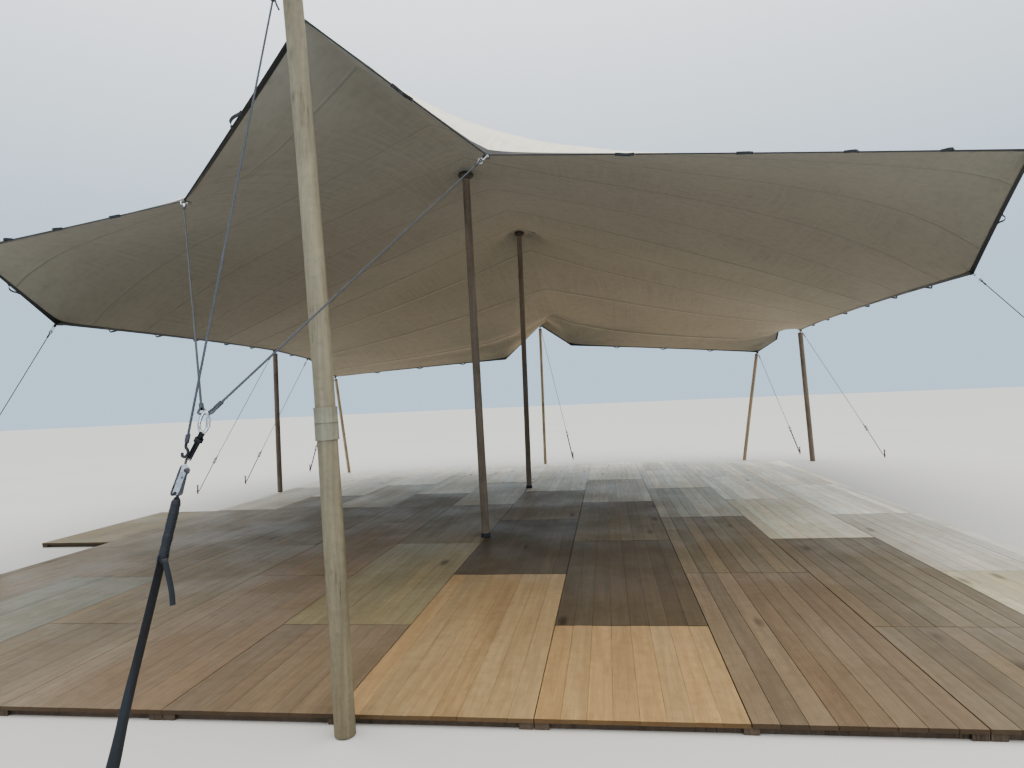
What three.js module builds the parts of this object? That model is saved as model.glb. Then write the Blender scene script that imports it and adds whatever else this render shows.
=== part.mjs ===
// Stretch tent on a timber deck: one tensioned membrane over a ridge of four poles
// and six edge poles, held down by guys to ground stakes.
// Units are millimetres, +Z is up, and +Y runs from the front of the tent to its back.
// The origin is on the ridge line, at ground level, on the underside of the bearer there.
import * as THREE from 'three';

// Driving dimensions
const GAP = 0.3;
const MEMBRANE_THICKNESS = 8;
const WEBBING_WIDTH = 60;
const HEM_CURVE_RADIUS = 65000;
const HEM_RISE_SHARE = 0.25;
const CANOPY_CELL = 430;
const HEAD_PAD_HALF = 210;
const RIDGE_BELT_LENGTH = 40000;
const FULLNESS = 0.000065;

const FRONT_Y = -6000;
const BACK_Y = 6100;
const LEFT_X = -4800;
const RIGHT_X = 5150;

const POLE_SIDES = 20;
const PIN_RADIUS = 11;
const PIN_LENGTH = 60;
const POLE_TAPER = 0.94;
const SHOULDER_TAPER = 0.8;
const CAP = { height: 70, seatRadius: 60, rimRadius: 84, topRadius: 70, rimLow: 20, rimHigh: 48 };
const INNER_POLE = { footRadius: 47, headRadius: 41, bandHeight: 40 };

const ROPE_RADIUS = 5;
const KNOT_RADIUS = 8;
const KNOT_STEPS = 4;
const ROPE_SIDES = 12;
const STAKE_RADIUS = 13;
const STAKE_HEIGHT = 170;
const STAKE_HEAD_RADIUS = 24;
const STAKE_HEAD_HEIGHT = 12;
const GUY_FOOT_HEIGHT = 60;

const LEFT_PANEL_WIDTH = 930;
const RIGHT_PANEL_WIDTH = 990;
const DECK_FRONT = -6250;
const DECK_HEIGHT = 55;
const BOARD_THICKNESS = 21;
const BEARER_WIDTH = 70;
const BEARER_INSET = 2;
const PANEL_SEAM = 4;
const SECTION_BACKS = [5480, 5900, 6080, 5860, 5250];
const SIDE_PANEL = { width: 930, front: -2040, back: 200 };

// Colours of the pieces
const COLOURS = {
  fabric: 0xb49a7c,
  webbing: 0x1b1c22,
  paleWood: 0xc6b184,
  brownWood: 0x6d4c33,
  deck: 0xb28a66,
  deckSide: 0xd8c5a2,
  rope: 0x55585c,
  steel: 0xa9adb0,
  strap: 0x17181c,
};

// The hem passes through these points. t is the place along the side on the fabric,
// measured like x on the front and back hems and like y on the left and right hems.
const FRONT_LEFT = [-4870, -3600, 3310];
const FRONT_RIGHT = [5300, -2900, 3600];
const BACK_LEFT = [-4840, 5400, 2300];
const BACK_RIGHT = [4760, 5960, 2400];
const LEFT_FRONT_ROPE = [-1420, -5200, 3030];
const FRONT_PEAK = [-150, FRONT_Y, 3698];
const RIGHT_FRONT_ROPE = [700, -5150, 3165];
const LEFT_ROPE = [-4800, -2600, 2660];
const LEFT_POLE_HEAD = [-4930, 2720, 2730];
const LEFT_BACK_ROPE = [-4800, 3900, 2630];
const RIGHT_ROPE = [5590, -1200, 2770];
const RIGHT_POLE_HEAD = [5560, 5480, 2800];
const RIGHT_FOLD_TOP = [5180, 5620, 2940];
const RIGHT_FOLD_FOOT = [5150, 5790, 2650];
const BACK_LEFT_ROPE = [-860, 5820, 2520];
const BACK_PEAK = [-60, BACK_Y, 3290];
const BACK_RIGHT_ROPE = [660, 5820, 2760];

const HEMS = {
  front: [
    { t: LEFT_X, at: FRONT_LEFT },
    { t: -1100, at: LEFT_FRONT_ROPE },
    { t: 0, at: FRONT_PEAK },
    { t: 660, at: RIGHT_FRONT_ROPE },
    { t: RIGHT_X, at: FRONT_RIGHT },
  ],
  back: [
    { t: LEFT_X, at: BACK_LEFT },
    { t: -1100, at: BACK_LEFT_ROPE },
    { t: 0, at: BACK_PEAK },
    { t: 660, at: BACK_RIGHT_ROPE },
    { t: RIGHT_X, at: BACK_RIGHT },
  ],
  left: [
    { t: FRONT_Y, at: FRONT_LEFT },
    { t: -4700, at: LEFT_ROPE },
    { t: 2900, at: LEFT_POLE_HEAD },
    { t: 4100, at: LEFT_BACK_ROPE },
    { t: BACK_Y, at: BACK_LEFT },
  ],
  right: [
    { t: FRONT_Y, at: FRONT_RIGHT },
    { t: -3450, at: RIGHT_ROPE },
    { t: 5300, at: RIGHT_POLE_HEAD },
    { t: 5600, at: RIGHT_FOLD_TOP },
    { t: 5800, at: RIGHT_FOLD_FOOT },
    { t: BACK_Y, at: BACK_RIGHT },
  ],
};

// The two inner poles push the fabric up from below.
const INNER_HEADS = [
  { name: 'ridge_pole_front', u: 0, v: -2100, foot: [0, -2060], at: [-50, -2100, 4150] },
  { name: 'ridge_pole_middle', u: 0, v: 1950, foot: [20, 1970], at: [40, 1950, 4470] },
];

// Edge poles stand on the ground, each under a point of the hem.
const EDGE_POLES = [
  { name: 'left_front_pole', under: FRONT_LEFT, foot: [-4760, -3480], radius: 50, colour: 'brownWood' },
  { name: 'left_middle_pole', under: LEFT_POLE_HEAD, foot: [-4900, 2710], radius: 48, colour: 'brownWood' },
  { name: 'left_back_pole', under: BACK_LEFT, foot: [-4640, 5560], radius: 36, colour: 'paleWood' },
  { name: 'back_pole', under: BACK_PEAK, foot: [-100, 6330], radius: 34, colour: 'paleWood' },
  { name: 'right_back_pole', under: BACK_RIGHT, foot: [4410, 6230], radius: 38, colour: 'paleWood' },
  { name: 'right_middle_pole', under: RIGHT_POLE_HEAD, foot: [5690, 5590], radius: 52, colour: 'brownWood' },
  { name: 'right_front_pole', under: FRONT_RIGHT, foot: [5080, -3400], radius: 50, colour: 'brownWood' },
];

const FRONT_POLE = {
  foot: [95, -6340],
  head: [-23, -6402],
  height: 3800,
  footRadius: 52,
  headRadius: 47,
};
const SLEEVE = { bottom: 1390, top: 1500, thickness: 3 };
const COLLAR = { height: 3600, tubeRadius: 9 };

// Guys run straight from a point of the hem to a stake in the ground.
const GUYS = [
  { name: 'left_front', from: FRONT_LEFT, stake: [-6200, -4900] },
  { name: 'left_rope', from: LEFT_ROPE, stake: [-6650, -2700] },
  { name: 'left_middle', from: LEFT_POLE_HEAD, stake: [-6650, 2760] },
  { name: 'left_notch', from: LEFT_BACK_ROPE, stake: [-6500, 4250] },
  { name: 'left_back', from: BACK_LEFT, stake: [-6100, 6600] },
  { name: 'back', from: BACK_PEAK, stake: [480, 7800] },
  { name: 'right_back', from: BACK_RIGHT, stake: [5900, 7300] },
  { name: 'right_middle', from: RIGHT_POLE_HEAD, stake: [7250, 5900] },
  { name: 'right_rope', from: RIGHT_ROPE, stake: [7250, -2600] },
  { name: 'right_front', from: FRONT_RIGHT, stake: [6600, -4800] },
];

// The front tether, from the carabiner down to its stake.
const CARABINER = { at: [-89, -7100, 1526], length: 84, width: 50, wire: 9, lean: 0.22 };
const RATCHET_TOP = [-162, -7100, 1399];
const FRONT_STAKE = [-297, -7515];
const RATCHET = { length: 150, width: 45, depth: 34 };
const STRAP_SLEEVE = { length: 240, radius: 18, shoulder: 14 };
const STRAP = { width: 38, thickness: 5 };
const TIE_SPREAD = 13;
const POLE_ROPE_SIDE = [-0.56, -0.83, 0];

const tent = new THREE.Group();

function material(colour) {
  const metal = colour === 'steel';
  return new THREE.MeshStandardMaterial({
    color: COLOURS[colour],
    roughness: metal ? 0.35 : 0.85,
    metalness: metal ? 0.9 : 0.0,
  });
}

function add(name, geometry, colour) {
  const mesh = new THREE.Mesh(geometry, material(colour));
  mesh.name = name;
  tent.add(mesh);
  return mesh;
}

const vec = (p) => new THREE.Vector3(p[0], p[1], p[2] ?? 0);

// Grid values along one side of the fabric: every key value, with even steps between.
function gridValues(keys, low, high) {
  const sorted = [...new Set([...keys, low, high, low + WEBBING_WIDTH, high - WEBBING_WIDTH])];
  sorted.sort((a, b) => a - b);
  const values = [];
  for (let i = 0; i + 1 < sorted.length; i += 1) {
    const span = sorted[i + 1] - sorted[i];
    const steps = Math.max(1, Math.round(span / CANOPY_CELL));
    for (let k = 0; k < steps; k += 1) values.push(sorted[i] + (span * k) / steps);
  }
  values.push(high);
  return values;
}

// A point on one hem. Between two held points the hem bows inwards and a little up.
function hemPoint(hem, t) {
  let i = 0;
  while (i + 2 < hem.length && t > hem[i + 1].t) i += 1;
  const s = (t - hem[i].t) / (hem[i + 1].t - hem[i].t);
  const start = vec(hem[i].at);
  const end = vec(hem[i + 1].at);
  const chord = end.clone().sub(start);
  const bow = (4 * s * (1 - s) * chord.lengthSq()) / (8 * HEM_CURVE_RADIUS);
  const inward = new THREE.Vector3(-chord.y, chord.x, 0).normalize();
  const middle = start.clone().add(end).multiplyScalar(0.5);
  if (inward.dot(middle) > 0) inward.negate();
  const point = start.lerp(end, s);
  point.addScaledVector(inward, bow);
  point.z += HEM_RISE_SHARE * bow;
  return point;
}

// The fabric's grid: plan positions blended from the four hems, heights still to be found.
function buildGrid() {
  const headLines = (key) => INNER_HEADS.flatMap((h) => [
    h[key] - HEAD_PAD_HALF, h[key], h[key] + HEAD_PAD_HALF,
  ]);
  const sideKeys = (...names) => names.flatMap((n) => HEMS[n].map((p) => p.t));
  const us = gridValues([...sideKeys('front', 'back'), ...headLines('u')], LEFT_X, RIGHT_X);
  const vs = gridValues([...sideKeys('left', 'right'), ...headLines('v')], FRONT_Y, BACK_Y);
  const points = [];
  for (const v of vs) {
    for (const u of us) {
      const U = (u - LEFT_X) / (RIGHT_X - LEFT_X);
      const V = (v - FRONT_Y) / (BACK_Y - FRONT_Y);
      const p = new THREE.Vector3();
      p.addScaledVector(hemPoint(HEMS.front, u), 1 - V);
      p.addScaledVector(hemPoint(HEMS.back, u), V);
      p.addScaledVector(hemPoint(HEMS.left, v), 1 - U);
      p.addScaledVector(hemPoint(HEMS.right, v), U);
      p.addScaledVector(vec(FRONT_LEFT), -(1 - U) * (1 - V));
      p.addScaledVector(vec(FRONT_RIGHT), -U * (1 - V));
      p.addScaledVector(vec(BACK_LEFT), -(1 - U) * V);
      p.addScaledVector(vec(BACK_RIGHT), -U * V);
      points.push(p);
    }
  }
  return { us, vs, points, columns: us.length, rows: vs.length };
}

// Nodes within a head pad are held on it, and shift in plan to lie exactly over the pole.
function holdHeads(grid) {
  const held = new Set();
  for (const head of INNER_HEADS) {
    const near = (value, centre) => Math.abs(value - centre) < HEAD_PAD_HALF + 1;
    grid.vs.forEach((v, row) => {
      grid.us.forEach((u, column) => {
        if (!near(v, head.v) || !near(u, head.u)) return;
        const index = row * grid.columns + column;
        grid.points[index].set(head.at[0] + u - head.u, head.at[1] + v - head.v, head.at[2]);
        held.add(index);
      });
    });
  }
  return held;
}

function forEachTriangle(grid, visit) {
  for (let row = 0; row + 1 < grid.rows; row += 1) {
    for (let column = 0; column + 1 < grid.columns; column += 1) {
      const a = row * grid.columns + column;
      const b = a + 1;
      const c = a + grid.columns;
      const d = c + 1;
      const flip = (column < grid.columns / 2) === (row < grid.rows / 2);
      if (flip) {
        visit(a, b, d);
        visit(a, d, c);
      } else {
        visit(a, b, c);
        visit(b, d, c);
      }
    }
  }
}

// The pull of each grid node on its neighbours, as in a taut sheet of even tension, and
// the small lift on each node that keeps the sheet a little full. A belt sewn along the
// ridge adds its own pull.
function findPulls(grid) {
  const LEAST_PULL = 0.02;
  const flat = grid.points.map((p) => new THREE.Vector2(p.x, p.y));
  const pulls = grid.points.map(() => new Map());
  const lifts = grid.points.map(() => 0);
  const join = (i, j, weight) => {
    pulls[i].set(j, (pulls[i].get(j) ?? 0) + weight);
    pulls[j].set(i, (pulls[j].get(i) ?? 0) + weight);
  };
  forEachTriangle(grid, (...corners) => {
    corners.forEach((apex, k) => {
      const i = corners[(k + 1) % 3];
      const j = corners[(k + 2) % 3];
      const a = flat[i].clone().sub(flat[apex]);
      const b = flat[j].clone().sub(flat[apex]);
      const twiceArea = Math.abs(a.cross(b));
      join(i, j, Math.max(LEAST_PULL, a.dot(b) / twiceArea));
      lifts[apex] += (FULLNESS * twiceArea) / 3;
    });
  });
  const ridge = grid.us.indexOf(0);
  for (let row = 0; row + 1 < grid.rows; row += 1) {
    const i = row * grid.columns + ridge;
    const j = i + grid.columns;
    join(i, j, RIDGE_BELT_LENGTH / flat[i].distanceTo(flat[j]));
  }
  return { pulls, lifts };
}

// Heights of the taut sheet: each free node settles where its neighbours' pulls balance.
function relaxHeights(grid, held) {
  const OVER_RELAXATION = 1.85;
  const SWEEPS = 600;
  const { pulls, lifts } = findPulls(grid);
  const totals = pulls.map((pull) => [...pull.values()].reduce((sum, weight) => sum + weight, 0));
  for (let sweep = 0; sweep < SWEEPS; sweep += 1) {
    for (let row = 1; row + 1 < grid.rows; row += 1) {
      for (let column = 1; column + 1 < grid.columns; column += 1) {
        const index = row * grid.columns + column;
        if (held.has(index)) continue;
        let sum = lifts[index];
        for (const [other, weight] of pulls[index]) sum += weight * grid.points[other].z;
        const point = grid.points[index];
        point.z += OVER_RELAXATION * (sum / totals[index] - point.z);
      }
    }
  }
}

const fabric = buildGrid();
relaxHeights(fabric, holdHeads(fabric));

// A grid point on the upper (side 1) or lower (side -1) face. The two faces lie straight
// over each other, so the cut edges of neighbouring pieces are upright and stay parallel.
function surfacePoint(row, column, side) {
  const point = fabric.points[row * fabric.columns + column].clone();
  point.z += (side * MEMBRANE_THICKNESS) / 2;
  return point;
}

// A closed sheet from a block of grid points given for both faces of the fabric.
function sheetGeometry(top, bottom) {
  const rows = top.length;
  const columns = top[0].length;
  const positions = [...top.flat(), ...bottom.flat()].flatMap((p) => [p.x, p.y, p.z]);
  const under = rows * columns;
  const indices = [];
  const quad = (a, b, c, d) => indices.push(a, b, c, a, c, d);
  for (let row = 0; row + 1 < rows; row += 1) {
    for (let column = 0; column + 1 < columns; column += 1) {
      const a = row * columns + column;
      const c = a + columns;
      quad(a, a + 1, c + 1, c);
      quad(under + a, under + c, under + c + 1, under + a + 1);
    }
  }
  const last = (rows - 1) * columns;
  for (let column = 0; column + 1 < columns; column += 1) {
    quad(under + column, under + column + 1, column + 1, column);
    quad(last + column, last + column + 1, under + last + column + 1, under + last + column);
  }
  for (let row = 0; row + 1 < rows; row += 1) {
    const a = row * columns;
    const b = a + columns - 1;
    quad(a, a + columns, under + a + columns, under + a);
    quad(under + b, under + b + columns, b + columns, b);
  }
  const geometry = new THREE.BufferGeometry();
  geometry.setAttribute('position', new THREE.Float32BufferAttribute(positions, 3));
  geometry.setIndex(indices);
  geometry.computeVertexNormals();
  return geometry;
}

function addCanopy() {
  const face = (side) => {
    const rows = [];
    for (let row = 1; row + 1 < fabric.rows; row += 1) {
      const line = [];
      for (let column = 1; column + 1 < fabric.columns; column += 1) {
        line.push(surfacePoint(row, column, side));
      }
      rows.push(line);
    }
    return rows;
  };
  add('canopy', sheetGeometry(face(1), face(-1)), 'fabric');
}

// Webbing sewn to the edge of the fabric, one strip to a side, cut at the corners.
function addEdgeWebbing(name, cells, flipped) {
  const strip = (side) => cells.map(({ outer, inner }) => {
    const out = surfacePoint(...outer, side);
    const into = surfacePoint(...inner, side);
    into.addScaledVector(out.clone().sub(into).setZ(0).normalize(), 2 * GAP);
    return flipped ? [into, out] : [out, into];
  });
  const top = strip(1);
  const bottom = strip(-1);
  for (const face of [top, bottom]) {
    trimEnd(face[0], face[1]);
    trimEnd(face[face.length - 1], face[face.length - 2]);
  }
  add(name, sheetGeometry(top, bottom), 'webbing');
}

// Draws a strip's end line back from the corner, where the next side's strip starts.
function trimEnd(end, next) {
  end.forEach((p, i) => {
    p.addScaledVector(next[i].clone().sub(p).setZ(0).normalize(), 1.5 * GAP);
  });
}

function addAllWebbing() {
  const { rows, columns } = fabric;
  const acrossCells = (outerRow, innerRow) => {
    const cells = [];
    for (let column = 0; column < columns; column += 1) {
      const clamped = Math.min(Math.max(column, 1), columns - 2);
      cells.push({ outer: [outerRow, column], inner: [innerRow, clamped] });
    }
    return cells;
  };
  const alongCells = (outerColumn, innerColumn) => {
    const cells = [];
    for (let row = 0; row < rows; row += 1) {
      const clamped = Math.min(Math.max(row, 1), rows - 2);
      cells.push({ outer: [row, outerColumn], inner: [clamped, innerColumn] });
    }
    return cells;
  };
  const mitred = (cells) => cells.filter((cell, i) => i !== 1 && i !== cells.length - 2);
  addEdgeWebbing('edge_webbing_front', mitred(acrossCells(0, 1)), true);
  addEdgeWebbing('edge_webbing_back', mitred(acrossCells(rows - 1, rows - 2)), false);
  addEdgeWebbing('edge_webbing_left', mitred(alongCells(0, 1)), false);
  addEdgeWebbing('edge_webbing_right', mitred(alongCells(columns - 1, columns - 2)), true);
}

const sewnPieces = () => tent.children.filter((mesh) => /^(canopy|edge_webbing)/.test(mesh.name));

function trianglesOf(meshes) {
  return meshes.flatMap(({ geometry }) => {
    const position = geometry.getAttribute('position');
    const index = geometry.getIndex();
    const count = index ? index.count : position.count;
    const corner = (k) => new THREE.Vector3().fromBufferAttribute(position, index ? index.getX(k) : k);
    const triangles = [];
    for (let k = 0; k < count; k += 3) {
      triangles.push(new THREE.Triangle(corner(k), corner(k + 1), corner(k + 2)));
    }
    return triangles;
  });
}

// Lowest point of the sewn fabric over a small disc, for seating what stands under it.
function undersideHeight(x, y, radius) {
  const PROBES = 24;
  const probes = [[x, y]];
  for (let k = 0; k < PROBES; k += 1) {
    const angle = (2 * k * Math.PI) / PROBES;
    for (const share of [0.5, 1]) {
      probes.push([x + share * radius * Math.cos(angle), y + share * radius * Math.sin(angle)]);
    }
  }
  let lowest = Infinity;
  for (const triangle of trianglesOf(sewnPieces())) {
    for (const [px, py] of probes) {
      const height = heightInTriangle(triangle, px, py);
      if (height !== null) lowest = Math.min(lowest, height);
    }
  }
  return lowest;
}

function heightInTriangle({ a, b, c }, x, y) {
  const area = (b.x - a.x) * (c.y - a.y) - (c.x - a.x) * (b.y - a.y);
  if (Math.abs(area) < 1) return null;
  const s = ((x - a.x) * (c.y - a.y) - (c.x - a.x) * (y - a.y)) / area;
  const t = ((b.x - a.x) * (y - a.y) - (x - a.x) * (b.y - a.y)) / area;
  if (s < 0 || t < 0 || s + t > 1) return null;
  return a.z + s * (b.z - a.z) + t * (c.z - a.z);
}

// A turned post that leans from its foot to its head, with level ends.
function postGeometry(profile, foot, head, height) {
  const geometry = new THREE.LatheGeometry(profile.map(([r, z]) => new THREE.Vector2(r, z)), POLE_SIDES);
  geometry.rotateX(Math.PI / 2);
  const leanX = (head[0] - foot[0]) / height;
  const leanY = (head[1] - foot[1]) / height;
  const lean = new THREE.Matrix4().set(1, 0, leanX, 0, 0, 1, leanY, 0, 0, 0, 1, 0, 0, 0, 0, 1);
  geometry.applyMatrix4(lean);
  geometry.translate(foot[0], foot[1], foot[2] ?? 0);
  return geometry;
}

function addEdgePole({ name, under, foot, radius, colour }) {
  const inset = vec(under).setZ(0).normalize().multiplyScalar(-WEBBING_WIDTH / 2);
  const head = [under[0] + inset.x, under[1] + inset.y];
  const height = undersideHeight(head[0], head[1], PIN_RADIUS) - GAP;
  const shoulder = height - PIN_LENGTH;
  const profile = [
    [0, 0], [radius, 0], [radius * POLE_TAPER, shoulder - PIN_RADIUS], [radius * SHOULDER_TAPER, shoulder],
    [PIN_RADIUS, shoulder], [PIN_RADIUS, height], [0, height],
  ];
  add(name, postGeometry(profile, foot, head, height), colour);
}

// An inner pole stands on the deck and carries a padded cap that bears on the fabric.
function addInnerPole({ name, foot, at }) {
  const { footRadius, headRadius, bandHeight } = INNER_POLE;
  const { height: capHeight, seatRadius, rimRadius, topRadius, rimLow, rimHigh } = CAP;
  const capTop = undersideHeight(at[0], at[1], topRadius) - GAP;
  const base = DECK_HEIGHT + GAP;
  const height = capTop - capHeight - GAP - base;
  const profile = [[0, 0], [footRadius, 0], [footRadius, bandHeight], [headRadius, height], [0, height]];
  add(name, postGeometry(profile, [...foot, base], at, height), 'brownWood');
  const cap = [
    [0, 0], [seatRadius, 0], [rimRadius, rimLow], [rimRadius, rimHigh], [topRadius, capHeight], [0, capHeight],
  ];
  const capGeometry = postGeometry(cap, [at[0], at[1], capTop - capHeight], at, 1);
  add(`${name}_cap`, capGeometry, 'webbing');
}

function frontPoleAxis(z) {
  const { foot, head, height } = FRONT_POLE;
  return vec([...foot, 0]).lerp(vec([...head, height]), z / height);
}

function frontPoleRadius(z) {
  const { footRadius, headRadius, height } = FRONT_POLE;
  return footRadius + ((headRadius - footRadius) * z) / height;
}

function addFrontPole() {
  const { foot, head, height } = FRONT_POLE;
  const r = frontPoleRadius;
  const { bottom, top, thickness } = SLEEVE;
  const edge = 4;
  const chamfer = 9;
  const profile = [
    [0, 0], [r(0), 0], [r(bottom), bottom], [r(bottom) + thickness, bottom + edge],
    [r(top) + thickness, top - edge], [r(top), top], [r(height - chamfer), height - chamfer],
    [r(height) - chamfer, height], [0, height],
  ];
  add('front_pole', postGeometry(profile, foot, head, height), 'paleWood');
}

// The rope collar round the head of the front pole, which a rope and the fabric are tied to.
function addFrontCollar() {
  const { height, tubeRadius } = COLLAR;
  const inner = frontPoleRadius(height) / Math.cos(Math.PI / POLE_SIDES) + GAP;
  const ring = [];
  const TUBE_SIDES = 8;
  for (let k = 0; k < TUBE_SIDES; k += 1) {
    const angle = (2 * k * Math.PI) / TUBE_SIDES;
    ring.push([inner + tubeRadius + tubeRadius * Math.cos(angle), tubeRadius * Math.sin(angle)]);
  }
  ring.push(ring[0]);
  const centre = frontPoleAxis(height);
  const { foot, head, height: poleHeight } = FRONT_POLE;
  const perMetre = [(head[0] - foot[0]) / poleHeight, (head[1] - foot[1]) / poleHeight];
  const geometry = postGeometry(ring, [0, 0, 0], perMetre, 1);
  geometry.translate(centre.x, centre.y, centre.z);
  add('front_pole_collar', geometry, 'rope');
  return inner + 2 * tubeRadius;
}

// The rope that ties the fabric's front corner back to the collar.
function addFrontTie(collarRadius) {
  const corner = vec(FRONT_PEAK);
  const axis = frontPoleAxis(COLLAR.height);
  const side = corner.clone().sub(axis).setZ(0).normalize();
  const tied = axis.clone().addScaledVector(side, collarRadius + KNOT_RADIUS + GAP);
  const outward = tied.clone().sub(corner).normalize();
  const held = seatOutside(sewnPieces(), corner, outward);
  add('front_corner_tie', ropeGeometry(held, tied), 'rope');
}

// A rope with a knot at each end, drawn between the centres of its two knots.
function ropeGeometry(start, end) {
  const length = start.distanceTo(end);
  const neck = Math.asin(ROPE_RADIUS / KNOT_RADIUS);
  const knot = [new THREE.Vector2(0, -KNOT_RADIUS)];
  for (let k = 1; k <= KNOT_STEPS; k += 1) {
    const angle = -Math.PI / 2 + ((Math.PI - neck) * k) / KNOT_STEPS;
    knot.push(new THREE.Vector2(KNOT_RADIUS * Math.cos(angle), KNOT_RADIUS * Math.sin(angle)));
  }
  const farKnot = knot.map((p) => new THREE.Vector2(p.x, length - p.y)).reverse();
  const geometry = new THREE.LatheGeometry([...knot, ...farKnot], ROPE_SIDES);
  geometry.rotateX(Math.PI / 2);
  return placeAlong(geometry, start, end);
}

// Turns a shape that stands on +Z so that it runs from start towards end.
function placeAlong(geometry, start, end) {
  const along = end.clone().sub(start).normalize();
  const turn = new THREE.Quaternion().setFromUnitVectors(new THREE.Vector3(0, 0, 1), along);
  geometry.applyQuaternion(turn);
  geometry.translate(start.x, start.y, start.z);
  return geometry;
}

// Moves a knot's centre out along a line until the knot just clears the given pieces.
function seatOutside(meshes, start, direction) {
  const SEARCH_REACH = 600;
  const FURTHEST = 80;
  const HALVINGS = 24;
  const nearest = new THREE.Vector3();
  const distance = (triangle, point) => triangle.closestPointToPoint(point, nearest).distanceTo(point);
  const nearby = trianglesOf(meshes).filter((triangle) => distance(triangle, start) < SEARCH_REACH);
  const clearance = (centre) => Math.min(...nearby.map((triangle) => distance(triangle, centre)));
  let low = 0;
  let high = FURTHEST;
  for (let step = 0; step < HALVINGS; step += 1) {
    const middle = (low + high) / 2;
    const centre = start.clone().addScaledVector(direction, middle);
    if (clearance(centre) < KNOT_RADIUS + GAP) low = middle;
    else high = middle;
  }
  return start.clone().addScaledVector(direction, high);
}

function addStake(name, [x, y]) {
  const top = STAKE_HEIGHT - STAKE_HEAD_HEIGHT;
  const profile = [
    [0, 0], [STAKE_RADIUS, 0], [STAKE_RADIUS, top], [STAKE_HEAD_RADIUS, top],
    [STAKE_HEAD_RADIUS, STAKE_HEIGHT], [0, STAKE_HEIGHT],
  ];
  add(name, postGeometry(profile, [x, y], [x, y], STAKE_HEIGHT), 'steel');
}

// The middle of the end that rests against the side of a stake.
function footAtStake([x, y], towards, halfThickness) {
  const side = new THREE.Vector3(towards.x - x, towards.y - y, 0).normalize();
  side.multiplyScalar(STAKE_RADIUS + halfThickness + GAP);
  return new THREE.Vector3(x + side.x, y + side.y, GUY_FOOT_HEIGHT);
}

function addGuy({ name, from, stake }) {
  addStake(`${name}_stake`, stake);
  const held = vec(from);
  const foot = footAtStake(stake, held, KNOT_RADIUS);
  const direction = foot.clone().sub(held).normalize();
  const top = seatOutside(sewnPieces(), held, direction);
  add(`${name}_guy`, ropeGeometry(top, foot), 'rope');
}

// A long link with round ends, standing on its narrow end and leaning to the right.
function carabinerGeometry() {
  const { at, length, width, wire, lean } = CARABINER;
  const ARC_STEPS = 8;
  const link = (outline, inset) => {
    const radius = width / 2 - inset;
    const middle = (length - width) / 2;
    outline.absarc(0, middle, radius, 0, Math.PI, false);
    outline.absarc(0, -middle, radius, Math.PI, 2 * Math.PI, false);
    return outline;
  };
  const outline = link(new THREE.Shape(), 0);
  outline.holes.push(link(new THREE.Path(), wire));
  const geometry = new THREE.ExtrudeGeometry(outline, {
    depth: wire,
    bevelEnabled: false,
    curveSegments: ARC_STEPS,
  });
  geometry.translate(0, 0, -wire / 2);
  geometry.rotateX(Math.PI / 2);
  geometry.rotateY(lean);
  geometry.translate(...at);
  return geometry;
}

// Two ropes from the fabric's front edge meet at a carabiner. A short strap joins it to
// a ratchet, where the rope from the front pole also comes in.
function addFrontTether(collarRadius) {
  const carabiner = add('front_carabiner', carabinerGeometry(), 'steel');
  const ratchet = addFrontStrap();
  const { at, length, width, lean } = CARABINER;
  const axis = new THREE.Vector3(Math.sin(lean), 0, Math.cos(lean));
  const crown = vec(at).addScaledVector(axis, (length - width / 2) / 2);
  const across = new THREE.Vector3(TIE_SPREAD, 0, 0);
  const tieTo = (name, held, knotAt, onto, colour) => {
    const outward = held.clone().sub(knotAt).normalize();
    const knot = seatOutside([onto], knotAt, outward);
    const top = seatOutside(sewnPieces(), held, outward.clone().negate());
    add(name, ropeGeometry(top, knot), colour);
  };
  tieTo('front_rope_left', vec(LEFT_FRONT_ROPE), crown.clone().sub(across), carabiner, 'rope');
  tieTo('front_rope_right', vec(RIGHT_FRONT_ROPE), crown.clone().add(across), carabiner, 'rope');

  const ratchetTop = vec(RATCHET_TOP);
  const side = vec(POLE_ROPE_SIDE).normalize();
  const tied = frontPoleAxis(COLLAR.height).addScaledVector(side, collarRadius + KNOT_RADIUS + GAP);
  const poleTie = ratchetTop.clone().sub(across);
  const poleKnot = seatOutside([ratchet], poleTie, tied.clone().sub(poleTie).normalize());
  add('front_rope_pole', ropeGeometry(tied, poleKnot), 'rope');

  const heel = vec(at).addScaledVector(axis, -length / 2);
  const strapTie = ratchetTop.clone().add(across);
  const down = strapTie.clone().sub(heel).normalize();
  const upper = seatOutside([carabiner], heel, down);
  const lower = seatOutside([ratchet], strapTie, down.clone().negate());
  add('front_strap_upper', ropeGeometry(upper, lower), 'strap');
}

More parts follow.
